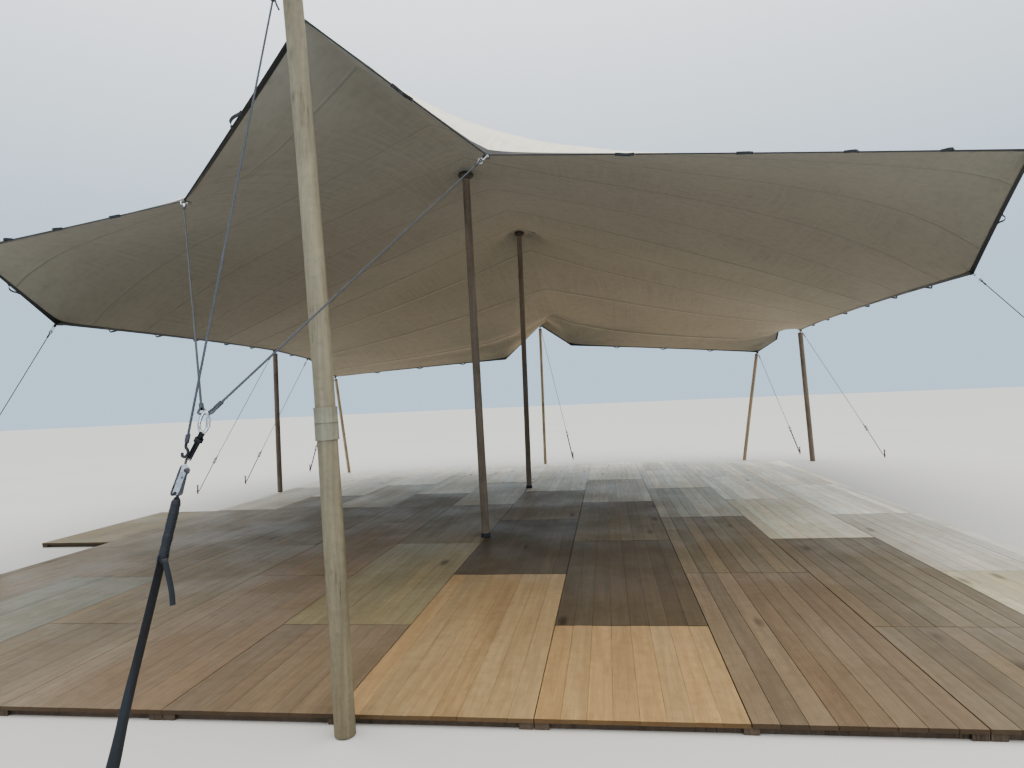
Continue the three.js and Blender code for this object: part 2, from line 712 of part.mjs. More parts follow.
// The ratchet, the strap end wound up below it, and the flat strap down to the stake.
function addFrontStrap() {
  addStake('front_stake', FRONT_STAKE);
  const top = vec(RATCHET_TOP);
  const behindStake = vec([FRONT_STAKE[0], top.y]);
  const foot = footAtStake(FRONT_STAKE, behindStake, STRAP.thickness / 2);
  const up = top.clone().sub(foot).normalize();
  const below = (distance) => top.clone().addScaledVector(up, -distance);
  const block = ({ width, depth, length }) => {
    return new THREE.BoxGeometry(width, depth, length).translate(0, 0, length / 2);
  };
  const ratchet = add('front_ratchet', placeAlong(block(RATCHET), below(RATCHET.length), top), 'steel');

  const { length, radius, shoulder } = STRAP_SLEEVE;
  const profile = [
    [0, 0], [radius - shoulder, 0], [radius, shoulder],
    [radius, length - shoulder], [radius - shoulder, length], [0, length],
  ];
  const sleeve = new THREE.LatheGeometry(profile.map(([r, z]) => new THREE.Vector2(r, z)), ROPE_SIDES);
  sleeve.rotateX(Math.PI / 2);
  const sleeveBottom = below(RATCHET.length + GAP + length);
  add('front_strap_sleeve', placeAlong(sleeve, sleeveBottom, top), 'strap');

  const strapTop = below(RATCHET.length + length + 2 * GAP);
  const strap = block({ width: STRAP.width, depth: STRAP.thickness, length: strapTop.distanceTo(foot) });
  add('front_strap', placeAlong(strap, foot, top), 'strap');
  return ratchet;
}

// The edges of the panel columns, counted from the joint on the ridge line.
const panelEdge = (k) => k * (k < 0 ? LEFT_PANEL_WIDTH : RIGHT_PANEL_WIDTH);

// Panels side by side on bearers. A narrow groove marks each joint between two columns.
function sectionGeometry(edges, front, back) {
  const left = edges[0];
  const right = edges[edges.length - 1];
  const joints = edges.slice(1, -1);
  const underBoards = DECK_HEIGHT - BOARD_THICKNESS;
  const outerBearer = BEARER_WIDTH / 2 + BEARER_INSET;
  const outline = new THREE.Shape();
  outline.moveTo(left, DECK_HEIGHT);
  outline.lineTo(left, underBoards);
  for (const centre of [left + outerBearer, ...joints, right - outerBearer]) {
    outline.lineTo(centre - BEARER_WIDTH / 2, underBoards);
    outline.lineTo(centre - BEARER_WIDTH / 2, 0);
    outline.lineTo(centre + BEARER_WIDTH / 2, 0);
    outline.lineTo(centre + BEARER_WIDTH / 2, underBoards);
  }
  outline.lineTo(right, underBoards);
  outline.lineTo(right, DECK_HEIGHT);
  for (const joint of [...joints].reverse()) {
    outline.lineTo(joint + PANEL_SEAM / 2, DECK_HEIGHT);
    outline.lineTo(joint + PANEL_SEAM / 2, DECK_HEIGHT - PANEL_SEAM);
    outline.lineTo(joint - PANEL_SEAM / 2, DECK_HEIGHT - PANEL_SEAM);
    outline.lineTo(joint - PANEL_SEAM / 2, DECK_HEIGHT);
  }
  const geometry = new THREE.ExtrudeGeometry(outline, { depth: back - front, bevelEnabled: false });
  geometry.rotateX(Math.PI / 2);
  geometry.translate(0, back, 0);
  return geometry;
}

// Five sections of two columns each, and one panel that stands out on the left.
function addDeck() {
  SECTION_BACKS.forEach((back, i) => {
    const first = 2 * i - SECTION_BACKS.length;
    const edges = [panelEdge(first) + GAP, panelEdge(first + 1), panelEdge(first + 2)];
    add(`deck_section_${i + 1}`, sectionGeometry(edges, DECK_FRONT, back), 'deck');
  });
  const { width, front, back } = SIDE_PANEL;
  const deckLeft = panelEdge(-SECTION_BACKS.length);
  add('deck_side_panel', sectionGeometry([deckLeft - width, deckLeft], front, back), 'deckSide');
}

addCanopy();
addAllWebbing();
INNER_HEADS.forEach(addInnerPole);
EDGE_POLES.forEach(addEdgePole);
addFrontPole();
const collarRadius = addFrontCollar();
addFrontTie(collarRadius);
addFrontTether(collarRadius);
GUYS.forEach(addGuy);
addDeck();

export default tent;
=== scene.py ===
import math
from functools import cache
import bmesh
import bpy
import numpy as np
from bpy.props import FloatProperty, FloatVectorProperty, IntProperty, PointerProperty
from mathutils import Matrix, Vector


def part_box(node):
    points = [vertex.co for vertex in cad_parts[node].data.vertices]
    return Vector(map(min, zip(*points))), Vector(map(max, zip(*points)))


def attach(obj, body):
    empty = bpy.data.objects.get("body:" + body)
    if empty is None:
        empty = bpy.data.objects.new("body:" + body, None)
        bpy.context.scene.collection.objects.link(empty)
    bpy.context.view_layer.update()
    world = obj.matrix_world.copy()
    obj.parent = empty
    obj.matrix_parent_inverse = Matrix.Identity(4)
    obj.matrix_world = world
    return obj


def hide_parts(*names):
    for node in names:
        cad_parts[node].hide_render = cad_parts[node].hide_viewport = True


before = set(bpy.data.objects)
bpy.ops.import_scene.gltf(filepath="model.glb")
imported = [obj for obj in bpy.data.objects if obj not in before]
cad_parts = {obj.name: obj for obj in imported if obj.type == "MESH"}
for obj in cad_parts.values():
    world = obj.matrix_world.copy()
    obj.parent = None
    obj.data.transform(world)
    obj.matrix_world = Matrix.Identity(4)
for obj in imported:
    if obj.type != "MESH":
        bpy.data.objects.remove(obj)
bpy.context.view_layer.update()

bl_info = {
    "name": "Stretch tent",
    "version": (1, 0, 0),
    "blender": (4, 5, 0),
    "location": "3D View > Sidebar > Tent",
    "description": "Dresses a packed stretch tent: cloth, hems, poles, ropes, ratchets and deck",
    "category": "Object",
}

# The hem passes through these points, in metres. The number before each is its place
# along the side, measured on the cloth like x on the front and back and like y on the
# left and right.
FRONT_Y, BACK_Y, LEFT_X, RIGHT_X = -6.0, 6.1, -4.8, 5.15
FRONT_LEFT = (-4.87, -3.6, 3.31)
FRONT_RIGHT = (5.3, -2.9, 3.6)
BACK_LEFT = (-4.84, 5.4, 2.3)
BACK_RIGHT = (4.76, 5.96, 2.4)
HEMS = {
    "front": [
        (LEFT_X, FRONT_LEFT), (-1.1, (-1.42, -5.2, 3.03)), (0.0, (-0.15, -6.0, 3.698)),
        (0.66, (0.7, -5.15, 3.165)), (RIGHT_X, FRONT_RIGHT)],
    "back": [
        (LEFT_X, BACK_LEFT), (-1.1, (-0.86, 5.82, 2.52)), (0.0, (-0.06, 6.1, 3.29)),
        (0.66, (0.66, 5.82, 2.76)), (RIGHT_X, BACK_RIGHT)],
    "left": [
        (FRONT_Y, FRONT_LEFT), (-4.7, (-4.8, -2.6, 2.66)), (2.9, (-4.93, 2.72, 2.73)),
        (4.1, (-4.8, 3.9, 2.63)), (BACK_Y, BACK_LEFT)],
    "right": [
        (FRONT_Y, FRONT_RIGHT), (-3.45, (5.59, -1.2, 2.77)), (5.3, (5.56, 5.48, 2.8)),
        (5.6, (5.18, 5.62, 2.94)), (5.8, (5.15, 5.79, 2.65)), (BACK_Y, BACK_RIGHT)],
}
HEM_CURVE_RADIUS = 65.0
HEM_RISE_SHARE = 0.25

# The cloth is pushed up by the two ridge poles: place on the cloth, and point it is held at.
HEADS = {
    "ridge_pole_front": ((0.0, -2.1), (-0.05, -2.1, 4.15)),
    "ridge_pole_middle": ((0.0, 1.95), (0.04, 1.95, 4.47)),
}
HEAD_RADIUS = 0.21
HEAD_DOME = 0.3
HEAD_PULL_REACH = 0.45
FULLNESS = 0.065
RIDGE_BELT_LENGTH = 40.0
LEAST_PULL = 0.02
NEAR_ENOUGH, MOST_ROUNDS = 1e-16, 4000

SEAM_SPACING = 1.35
FIRST_SEAM = -5.35
SEAMS = FIRST_SEAM + SEAM_SPACING * np.arange(9)
SEAM_HALF_WIDTH = 0.012
SEAM_THICKNESS = 1.9
LEAST_ROW = 0.004

EDGE_POLES = {
    "left_front_pole": "brown_wood",
    "left_middle_pole": "brown_wood",
    "left_back_pole": "pale_wood",
    "back_pole": "pale_wood",
    "right_back_pole": "pale_wood",
    "right_middle_pole": "brown_wood",
    "right_front_pole": "brown_wood",
}
POLE_PIN_LENGTH = 0.06
GUYS = (
    "left_front", "left_rope", "left_middle", "left_notch", "left_back",
    "back", "right_back", "right_middle", "right_rope", "right_front",
)

# The deck: columns of panels laid in brick bond, each panel of boards that run along Y.
DECK_TOP = 0.055
DECK_FRONT = -6.25
LEFT_PANEL_WIDTH = 0.93
RIGHT_PANEL_WIDTH = 0.99
PANEL_LENGTH = 2.6
BOARDS_ACROSS = 8
BEARER_WIDTH, BEARER_HEIGHT = 0.07, 0.034
DECK_SECTIONS = 5
FIRST_COLUMN = -5

# Wood tones of the panels, as sRGB.
DECK_TONES = {
    "tan": (0.47, 0.42, 0.335),
    "orange": (0.665, 0.56, 0.405),
    "amber": (0.62, 0.525, 0.385),
    "taupe": (0.36, 0.315, 0.245),
    "rosy": (0.48, 0.415, 0.33),
    "cream": (0.515, 0.475, 0.365),
    "pale": (0.70, 0.67, 0.56),
    # The pale tone that boards are blended towards, as painted light and painted reflection.
    "painted_lit": (0.92, 0.905, 0.85),
    "grey": (0.485, 0.47, 0.405),
}
# Most panels are tan. These are the others, by column and by panel from the front.
ODD_PANELS = {
    (-4, 0): "grey", (-2, 0): "rosy", (-2, 1): "rosy", (-1, 0): "rosy", (-1, 1): "cream",
    (0, 0): "amber", (0, 1): "taupe", (1, 0): "orange", (1, 1): "taupe", (2, 0): "rosy",
    (3, 2): "pale", (4, 0): "pale",
}
# Painted light: the boards are blended towards a pale tone between these distances back, sooner towards the
# right, standing for open sky lighting the deck and its reflection in the boards.
PAINTED_LIGHT_FROM, PAINTED_LIGHT_TO = 0.2, 3.6
PAINTED_LIGHT_SLANT, PAINTED_LIGHT_SLANT_FROM = 1.5, 1.5
MOST_PAINTED_LIGHT = 0.95

# The camera that the photograph was taken with, in the tent's own frame.
CAMERA_PLACE = (1.40, -9.40, 1.555)
CAMERA_PITCH = math.radians(1.465)
CAMERA_ROLL = math.radians(-2.49)
CAMERA_YAW = math.radians(-8.01)
CAMERA_LENS = 23.41
SENSOR_WIDTH = 36.0


def length_setting(name, description, default):
    """A setting in metres."""
    return FloatProperty(name=name, description=description, default=default, unit="LENGTH")


def colour_setting(name, description, default):
    """A setting that picks a colour."""
    return FloatVectorProperty(name=name, description=description, default=default, subtype="COLOR")


class ClothSettings(bpy.types.PropertyGroup):
    """Sizes and colours of the cloth and its hem."""

    cell: length_setting("Cell", "Step of the cloth's grid", 0.07)
    thickness: length_setting("Thickness", "Thickness of the cloth", 0.003)
    webbing_width: length_setting("Webbing width", "Width of the hem's webbing", 0.042)
    outer: colour_setting("Outer face", "Colour of the face to the sky", (0.76, 0.71, 0.59))
    inner: colour_setting("Inner face", "Colour of the face to the ground", (0.240, 0.225, 0.183))
    webbing: colour_setting("Webbing", "Colour of the hem's webbing", (0.011, 0.012, 0.012))


class PoleSettings(bpy.types.PropertyGroup):
    """Shape and colours of the wooden poles."""

    sides: IntProperty(name="Sides", description="Sides of a pole", default=28, min=8)
    unevenness: FloatProperty(
        name="Unevenness", description="How far a pole's skin strays from round, as a share",
        default=0.022)
    pale: colour_setting("Pale wood", "Colour of the peeled poles", (0.205, 0.174, 0.113))
    brown: colour_setting("Brown wood", "Colour of the stained poles", (0.205, 0.162, 0.122))


class RopeSettings(bpy.types.PropertyGroup):
    """Sizes and colours of the ropes, straps and steel fittings."""

    diameter: length_setting("Diameter", "Rope diameter", 0.010)
    lay: length_setting("Lay length", "Length of one turn of the strands", 0.055)
    colour: colour_setting("Rope", "Colour of the ropes", (0.085, 0.09, 0.10))
    strap: colour_setting("Strap", "Colour of the straps", (0.0065, 0.0075, 0.0095))
    steel: colour_setting("Steel", "Colour of the plated steel", (0.52, 0.535, 0.55))


class DeckSettings(bpy.types.PropertyGroup):
    """Sizes of the deck's boards."""

    thickness: length_setting("Board thickness", "Thickness of the boards", 0.021)
    joint: length_setting("Joint", "Gap between two boards", 0.003)
    seed: IntProperty(name="Seed", description="Seed of the boards' small differences", default=4)


class StageSettings(bpy.types.PropertyGroup):
    """Light and floor round the tent."""

    sky: colour_setting("Light from above", "Colour of the light from straight above", (1.0, 0.98, 0.95))
    horizon: colour_setting(
        "Light from round about", "Colour of the light along the horizon", (0.285, 0.36, 0.435))
    sky_strength: FloatProperty(name="Sky strength", description="Strength of that light", default=2.0)
    floor: colour_setting("Floor", "Colour of the floor", (0.57, 0.56, 0.535))


class TentSettings(bpy.types.PropertyGroup):
    """All settings of the tent."""

    cloth: PointerProperty(type=ClothSettings, name="Cloth", description="Cloth and hem")
    poles: PointerProperty(type=PoleSettings, name="Poles", description="Wooden poles")
    ropes: PointerProperty(type=RopeSettings, name="Ropes", description="Ropes, straps and steel")
    deck: PointerProperty(type=DeckSettings, name="Deck", description="Timber deck")
    stage: PointerProperty(type=StageSettings, name="Stage", description="Light and floor")


# Building meshes


class Shape:
    """Points and faces gathered for one piece, with a finish number for each face."""

    def __init__(self):
        self.points = []
        self.faces = []
        self.finishes = []
        self.cloth_places = []

    def add(self, points, faces, finish=0, places=None):
        """Adds closed faces over their own points; places are (u, v) in metres on the cloth."""
        first = len(self.points)
        self.points.extend(tuple(map(float, p)) for p in points)
        self.faces.extend([first + i for i in face] for face in faces)
        self.finishes.extend([finish] * len(faces))
        self.cloth_places.extend(places if places is not None else [(0.0, 0.0)] * len(points))
        return self

    def moved(self, matrix):
        """Puts everything gathered so far in place."""
        self.points = [tuple(matrix @ Vector(p)) for p in self.points]
        return self

    def join(self, other):
        """Takes over the points and faces of another shape."""
        first = len(self.points)
        self.points.extend(other.points)
        self.faces.extend([first + i for i in face] for face in other.faces)
        self.finishes.extend(other.finishes)
        self.cloth_places.extend(other.cloth_places)
        return self


def shown(thing):
    """An object, once it is in the scene."""
    bpy.context.scene.collection.objects.link(thing)
    return thing


def new_piece(name, shape, finishes, replaces=(), crease=40.0):
    """Makes the mesh piece that stands for CAD nodes: smooth, with creases at sharp edges."""
    mesh = bpy.data.meshes.new(name)
    mesh.from_pydata(shape.points, [], shape.faces)
    mesh.polygons.foreach_set("material_index", shape.finishes)
    places = mesh.uv_layers.new(name="cloth")
    corners = np.zeros(len(mesh.loops), np.int32)
    mesh.loops.foreach_get("vertex_index", corners)
    places.data.foreach_set("uv", np.array(shape.cloth_places, np.float32)[corners].ravel())
    turn_outwards(mesh)
    return dress(mesh, name, finishes, replaces, crease)


def turn_outwards(mesh):
    """Turns every closed shell's faces outwards."""
    work = bmesh.new()
    work.from_mesh(mesh)
    bmesh.ops.recalc_face_normals(work, faces=work.faces)
    work.to_mesh(mesh)
    work.free()


def dress(mesh, name, finishes, replaces=(), crease=40.0):
    """Makes a mesh a finished piece on the tent's one body."""
    for finish in finishes:
        mesh.materials.append(finish)
    mesh.shade_smooth()
    mesh.set_sharp_from_angle(angle=math.radians(crease))
    piece = shown(bpy.data.objects.new(name, mesh))
    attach(piece, "root")
    if replaces:
        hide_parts(*replaces)
    return piece


def unit(vector):
    vector = np.asarray(vector, float)
    return vector / np.linalg.norm(vector)


def frames_along(path, side=None, closed=False):
    """Side and up directions that go along a path without twisting about it."""
    if closed:
        tangents = np.roll(path, -1, axis=0) - np.roll(path, 1, axis=0)
    else:
        tangents = np.gradient(path, axis=0)
    tangents /= np.linalg.norm(tangents, axis=1)[:, None]
    if side is None:
        side = np.cross(tangents[0], (0.0, 0.0, 1.0) if abs(tangents[0][2]) < 0.9 else (0.0, 1.0, 0.0))
    sides = []
    for tangent in tangents:
        side = unit(np.asarray(side, float) - tangent * np.dot(side, tangent))
        sides.append(side)
    sides = np.array(sides)
    return sides, np.cross(sides, tangents)


def tube_faces(rings, around, closed=False):
    """Faces that join each ring of points to the next, and the last to the first if closed."""
    faces = []
    for ring in range(rings if closed else rings - 1):
        low, high = ring * around, (ring + 1) % rings * around
        for k in range(around):
            other = (k + 1) % around
            faces.append((low + k, low + other, high + other, high + k))
    return faces


def tube_ends(rings, around):
    """The faces over the first and the last ring."""
    return [tuple(reversed(range(around))), tuple(range((rings - 1) * around, rings * around))]


def run_along(path):
    """How far along the path each of its points lies."""
    return np.concatenate([[0.0], np.cumsum(np.linalg.norm(np.diff(path, axis=0), axis=1))])


def sweep(path, section, side=None, closed=False, twist=None, scale=None, finish=0):
    """Carries a closed section along a path. twist and scale may change along it."""
    path = np.asarray(path, float)
    section = np.asarray(section, float)
    sides, ups = frames_along(path, side, closed)
    twist = np.zeros(len(path)) if twist is None else np.asarray(twist, float)
    scale = np.ones(len(path)) if scale is None else np.asarray(scale, float)
    x = section[None, :, 0] * scale[:, None]
    y = section[None, :, 1] * scale[:, None]
    cos, sin = np.cos(twist)[:, None], np.sin(twist)[:, None]
    across, high = x * cos - y * sin, x * sin + y * cos
    points = path[:, None] + across[..., None] * sides[:, None] + high[..., None] * ups[:, None]
    faces = tube_faces(len(path), len(section), closed)
    if not closed:
        faces += tube_ends(len(path), len(section))
    places = [(x, run) for run in run_along(path) for x in section[:, 0]]
    return Shape().add(points.reshape(-1, 3), faces, finish, places)


def curled_strap(path, width, thickness, side, twist, curl):
    """A flat strap that turns over along its path, and curls into a gutter as it does so."""
    path = np.asarray(path, float)
    sides, ups = frames_along(path, side)
    across = np.linspace(-1.0, 1.0, 11)
    flat = np.concatenate([across, across[::-1]]) * width / 2
    least_bend = 0.02
    points, places = [], []
    steps = zip(path, sides, ups, run_along(path), twist, np.maximum(curl, least_bend))
    for middle, level, up, run, turn, bend in steps:
        bow = width / 2 / bend
        lines = []
        for radius in (bow + thickness / 2, bow - thickness / 2):
            x = radius * np.sin(across * bend)
            y = bow * (1 - 0.5 * (1 - np.cos(bend))) - radius * np.cos(across * bend)
            lines.append(np.stack([x, y], axis=1))
        section = np.concatenate([lines[0], lines[1][::-1]])
        x = section[:, 0] * math.cos(turn) - section[:, 1] * math.sin(turn)
        y = section[:, 0] * math.sin(turn) + section[:, 1] * math.cos(turn)
        points.extend(middle + x[:, None] * level + y[:, None] * up)
        places.extend((float(x), float(run)) for x in flat)
    around = len(flat)
    faces = tube_faces(len(path), around)
    for first in (0, (len(path) - 1) * around):
        faces += [(first + k, first + k + 1, first + around - 2 - k, first + around - 1 - k)
                  for k in range(len(across) - 1)]
    return Shape().add(points, faces, 0, places)


def round_section(radius, sides):
    """A circle of points."""
    angles = np.arange(sides) * 2 * math.pi / sides
    return np.stack([radius * np.cos(angles), radius * np.sin(angles)], axis=1)


def flat_section(width, thickness):
    """A strap's section: flat, with its two edges rounded off."""
    w, t = width / 2, thickness / 2
    e = min(0.3 * width, t)
    corners = [(-w, -t + e / 2), (-w + e, -t), (w - e, -t), (w, -t + e / 2)]
    return corners + [(-x, -y) for x, y in corners]


def turned(profile, sides):
    """Turns a profile of (radius, height) about Z. It starts and ends on the axis."""
    points, faces, rings = [], [], []
    for radius, height in profile:
        if radius < 1e-6:
            rings.append([len(points)] * sides)
            points.append((0.0, 0.0, height))
            continue
        rings.append(list(range(len(points), len(points) + sides)))
        for k in range(sides):
            angle = 2 * math.pi * k / sides
            points.append((radius * math.cos(angle), radius * math.sin(angle), height))
    for low, high in zip(rings, rings[1:]):
        for k in range(sides):
            other = (k + 1) % sides
            face = list(dict.fromkeys([low[k], low[other], high[other], high[k]]))
            if len(face) > 2:
                faces.append(face)
    return Shape().add(points, faces)


def plate(outline, thickness, finish=0):
    """A flat plate in the XZ plane with the given outline, lying half each side of it."""
    count = len(outline)
    points = [(x, s * thickness / 2, z) for s in (-1, 1) for x, z in outline]
    faces = [tuple(range(count)), tuple(range(2 * count - 1, count - 1, -1))]
    faces += [(k, (k + 1) % count, count + (k + 1) % count, count + k) for k in range(count)]
    return Shape().add(points, faces, finish)


def slot_outline(length, width):
    """The outline of a bar with round ends, centred on the origin and standing along its length."""
    radius, middle, steps = width / 2, (length - width) / 2, 8
    points = []
    for end, first in ((1, 0.0), (-1, math.pi)):
        for k in range(steps + 1):
            angle = first + math.pi * k / steps
            points.append((radius * math.cos(angle), end * middle + radius * math.sin(angle)))
    return points


def along(start, end, side=(1.0, 0.0, 0.0)):
    """A matrix that puts the origin at start and turns +Z towards end, and X near side."""
    z = unit(np.subtract(end, start))
    x = unit(np.asarray(side, float) - z * np.dot(side, z))
    y = np.cross(z, x)
    turn = Matrix(np.stack([x, y, z], axis=1).tolist())
    return Matrix.Translation(Vector(start)) @ turn.to_4x4()


def stood(shape, start, direction, side=(1.0, 0.0, 0.0)):
    """A shape that was made up the Z axis, moved to start and turned to go in a direction."""
    start = np.asarray(start, float)
    return shape.moved(along(start, start + direction, side))


def box_middle(node, height):
    """The middle of a CAD node seen from above, at a given height."""
    low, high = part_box(node)
    return np.array([(low.x + high.x) / 2, (low.y + high.y) / 2, height])


def node_points(node):
    """The CAD node's corner points as an array."""
    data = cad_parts[node].data
    points = np.zeros(len(data.vertices) * 3)
    data.vertices.foreach_get("co", points)
    return points.reshape(-1, 3)


def line_of(node):
    """Upper and lower end of a straight round CAD node, on its axis."""
    points = node_points(node)
    middle = points.mean(axis=0)
    spread, directions = np.linalg.eigh(np.cov((points - middle).T))
    axis = directions[:, np.argmax(spread)]
    axis = axis if axis[2] > 0 else -axis
    reach = (points - middle) @ axis
    return middle + axis * reach.max(), middle + axis * reach.min()


def rope_line(node):
    """Top and foot of a rope's CAD node, the way down it and a level way across it."""
    top, foot = line_of(node)
    direction = unit(foot - top)
    return top, foot, direction, unit(np.cross(direction, (0, 0, 1)))


def post_of(node):
    """Foot centre, head centre and foot radius of a CAD pole, from its level ends."""
    points = node_points(node)
    tolerance = 0.001
    foot = points[points[:, 2] < points[:, 2].min() + tolerance]
    head = points[points[:, 2] > points[:, 2].max() - tolerance]
    centre = (foot.min(axis=0) + foot.max(axis=0)) / 2
    top = (head.min(axis=0) + head.max(axis=0)) / 2
    radius = (foot.max(axis=0) - foot.min(axis=0))[0] / 2
    return centre, top, radius


# Node trees


class Tree:
    """Short forms for building a node tree."""

    def __init__(self, tree):
        self.tree = tree

    def add(self, kind, inputs=None, **settings):
        """A node with its settings. An input is a value or another node's output."""
        node = self.tree.nodes.new(kind)
        for name, value in settings.items():
            setattr(node, name, value)
        for name, value in (inputs or {}).items():
            if isinstance(value, bpy.types.NodeSocket):
                self.tree.links.new(value, node.inputs[name])
            else:
                node.inputs[name].default_value = value
        return node

    def link(self, output, target):
        self.tree.links.new(output, target)

    def maths(self, operation, *values, clamp=False):
        node = self.add("ShaderNodeMath", dict(enumerate(values)), operation=operation, use_clamp=clamp)
        return node.outputs[0]

    def plus(self, first, second):
        return self.maths("ADD", first, second)

    def minus(self, first, second):
        return self.maths("SUBTRACT", first, second)

    def times(self, first, second, clamp=False):
        return self.maths("MULTIPLY", first, second, clamp=clamp)

    def over(self, first, second):
        return self.maths("DIVIDE", first, second)

    def absolute(self, value):
        return self.maths("ABSOLUTE", value)

    def less(self, mask):
        """What a mask leaves out."""
        return self.minus(1.0, mask)

    def noise(self, place, scale, detail, roughness=0.5, distortion=0.0):
        """Soft clouds about a half."""
        return self.add("ShaderNodeTexNoise", {
            "Vector": place, "Scale": scale, "Detail": detail, "Roughness": roughness,
            "Distortion": distortion}).outputs[0]

    def spot(self):
        """The place on the piece, in metres."""
        return self.add("ShaderNodeTexCoord").outputs["Object"]

    def stained(self, base, *stains):
        """A colour under stains, each with its mask, how far it covers and its own colour."""
        for mask, cover, colour in stains:
            base = self.mix(self.times(mask, cover), base, colour)
        return base

    def vector(self, operation, *values):
        return self.add("ShaderNodeVectorMath", dict(enumerate(values)), operation=operation).outputs[0]

    def mix(self, share, first, second, blend="MIX"):
        """A mix of two colours."""
        node = self.add("ShaderNodeMix", {0: share, 6: first, 7: second}, data_type="RGBA", blend_type=blend)
        return node.outputs[2]

    def ramp(self, value, low, high):
        """0 below low, 1 above high and smooth between them."""
        node = self.add("ShaderNodeMapRange", {"Value": value, "From Min": low, "From Max": high},
                        interpolation_type="SMOOTHSTEP")
        return node.outputs["Result"]

    def group(self, tree, inputs):
        return self.add("ShaderNodeGroup", inputs, node_tree=tree).outputs

    def tube(self, curve, section):
        """A closed tube of a given section along a curve."""
        return self.add("GeometryNodeCurveToMesh", {
            "Curve": curve, "Profile Curve": section, "Fill Caps": True}).outputs[0]

    def mottle(self, place, broad, fine):
        """Clouds and specks, at a broad and a fine scale."""
        return self.group(mottle_group(), {"Place": place, "Broad Scale": broad, "Fine Scale": fine})


def new_tree(name, kind, inputs, outputs):
    """A node group with named sockets. inputs and outputs are (name, socket kind, default)."""
    tree = bpy.data.node_groups.new(name, kind)
    for direction, sockets in (("INPUT", inputs), ("OUTPUT", outputs)):
        for socket_name, socket_kind, default in sockets:
            socket = tree.interface.new_socket(socket_name, in_out=direction, socket_type=socket_kind)
            if default is not None:
                socket.default_value = default
    build = Tree(tree)
    return build, build.add("NodeGroupInput").outputs, build.add("NodeGroupOutput").inputs


FLOAT, VECTOR = "NodeSocketFloat", "NodeSocketVector"
GEOMETRY, MATERIAL = "NodeSocketGeometry", "NodeSocketMaterial"


@cache
def mottle_group():
    """Uneven tone: broad clouds, and fine specks for grime."""
    build, given, out = new_tree(
        "mottle", "ShaderNodeTree",
        [("Place", VECTOR, None), ("Broad Scale", FLOAT, 1.0), ("Fine Scale", FLOAT, 20.0)],
        [("Clouds", FLOAT, None), ("Specks", FLOAT, None)])
    clouds = build.noise(given["Place"], given["Broad Scale"], 5.0, 0.6)
    specks = build.noise(given["Place"], given["Fine Scale"], 4.0, 0.7)
    build.link(build.ramp(clouds, 0.35, 0.65), out["Clouds"])
    build.link(build.ramp(specks, 0.42, 0.72), out["Specks"])
    return build.tree


@cache
def weave_group():
    """Threads that cross over and under, as a height from 0 to 1. Place is in metres."""
    build, given, out = new_tree(
        "weave", "ShaderNodeTree",
        [("Place", VECTOR, None), ("Thread", FLOAT, 0.002), ("Slub", FLOAT, 0.3)],
        [("Height", FLOAT, None)])
    turns = build.over(math.pi, given["Thread"])
    parts = build.add("ShaderNodeSeparateXYZ", {0: given["Place"]}).outputs
    across = build.maths("SINE", build.times(parts[0], turns))
    down = build.maths("SINE", build.times(parts[1], turns))
    crossing = build.times(across, down)
    uneven = build.times(build.noise(given["Place"], 160.0, 2.0), given["Slub"])
    height = build.plus(build.maths("MULTIPLY_ADD", crossing, 0.35, 0.5), uneven)
    build.link(height, out["Height"])
    return build.tree


@cache
def seam_group():
    """Sewn seams across the cloth at an even spacing, and the stitches along them."""
    build, given, out = new_tree(
        "seams", "ShaderNodeTree",
        [("Place", VECTOR, None), ("Spacing", FLOAT, SEAM_SPACING), ("First", FLOAT, FIRST_SEAM),
         ("Half Width", FLOAT, SEAM_HALF_WIDTH)],
        [("Band", FLOAT, None), ("Stitches", FLOAT, None)])
    parts = build.add("ShaderNodeSeparateXYZ", {0: given["Place"]}).outputs
    offset = build.minus(parts[1], given["First"])
    number = build.maths("ROUND", build.over(offset, given["Spacing"]))
    nearest = build.times(number, given["Spacing"])
    distance = build.absolute(build.minus(offset, nearest))
    share = build.over(distance, given["Half Width"])
    row = build.maths("LESS_THAN", build.absolute(build.minus(share, 0.6)), 0.1)
    dash = build.maths("LESS_THAN", build.maths("FRACT", build.over(parts[0], 0.006)), 0.65)
    build.link(build.less(build.ramp(share, 0.8, 1.3)), out["Band"])
    build.link(build.times(row, dash), out["Stitches"])
    return build.tree


@cache
def grain_group():
    """Wood grain stretched along one axis, with dark pores and a few knots."""
    build, given, out = new_tree(
        "grain", "ShaderNodeTree",
        [("Place", VECTOR, None), ("Stretch", VECTOR, (1.0, 1.0, 0.05)), ("Scale", FLOAT, 30.0),
         ("Knot Scale", FLOAT, 3.0)],
        [("Figure", FLOAT, None), ("Pores", FLOAT, None), ("Knots", FLOAT, None)])
    stretched = build.vector("MULTIPLY", given["Place"], given["Stretch"])
    figure = build.noise(stretched, given["Scale"], 6.0, 0.62, 0.4)
    pores = build.noise(stretched, build.times(given["Scale"], 7.0), 3.0)
    half_stretch = build.vector("MULTIPLY", given["Place"],
                                build.vector("POWER", given["Stretch"], (0.4, 0.4, 0.4)))
    cells = build.add("ShaderNodeTexVoronoi", {"Vector": half_stretch, "Scale": given["Knot Scale"]},
                      feature="F1")
    build.link(build.ramp(figure, 0.3, 0.7), out["Figure"])
    build.link(build.ramp(pores, 0.5, 0.7), out["Pores"])
    build.link(build.less(build.ramp(cells.outputs["Distance"], 0.03, 0.13)), out["Knots"])
    return build.tree


def new_finish(name, roughness=0.6, metallic=0.0, specular=0.5):
    """A material with one principled shader, and the short forms to build its nodes."""
    finish = bpy.data.materials.new(name)
    finish.use_nodes = True
    build = Tree(finish.node_tree)
    shader = finish.node_tree.nodes["Principled BSDF"]
    shader.inputs["Roughness"].default_value = roughness
    shader.inputs["Metallic"].default_value = metallic
    shader.inputs["Specular IOR Level"].default_value = specular
    return finish, build, shader.inputs


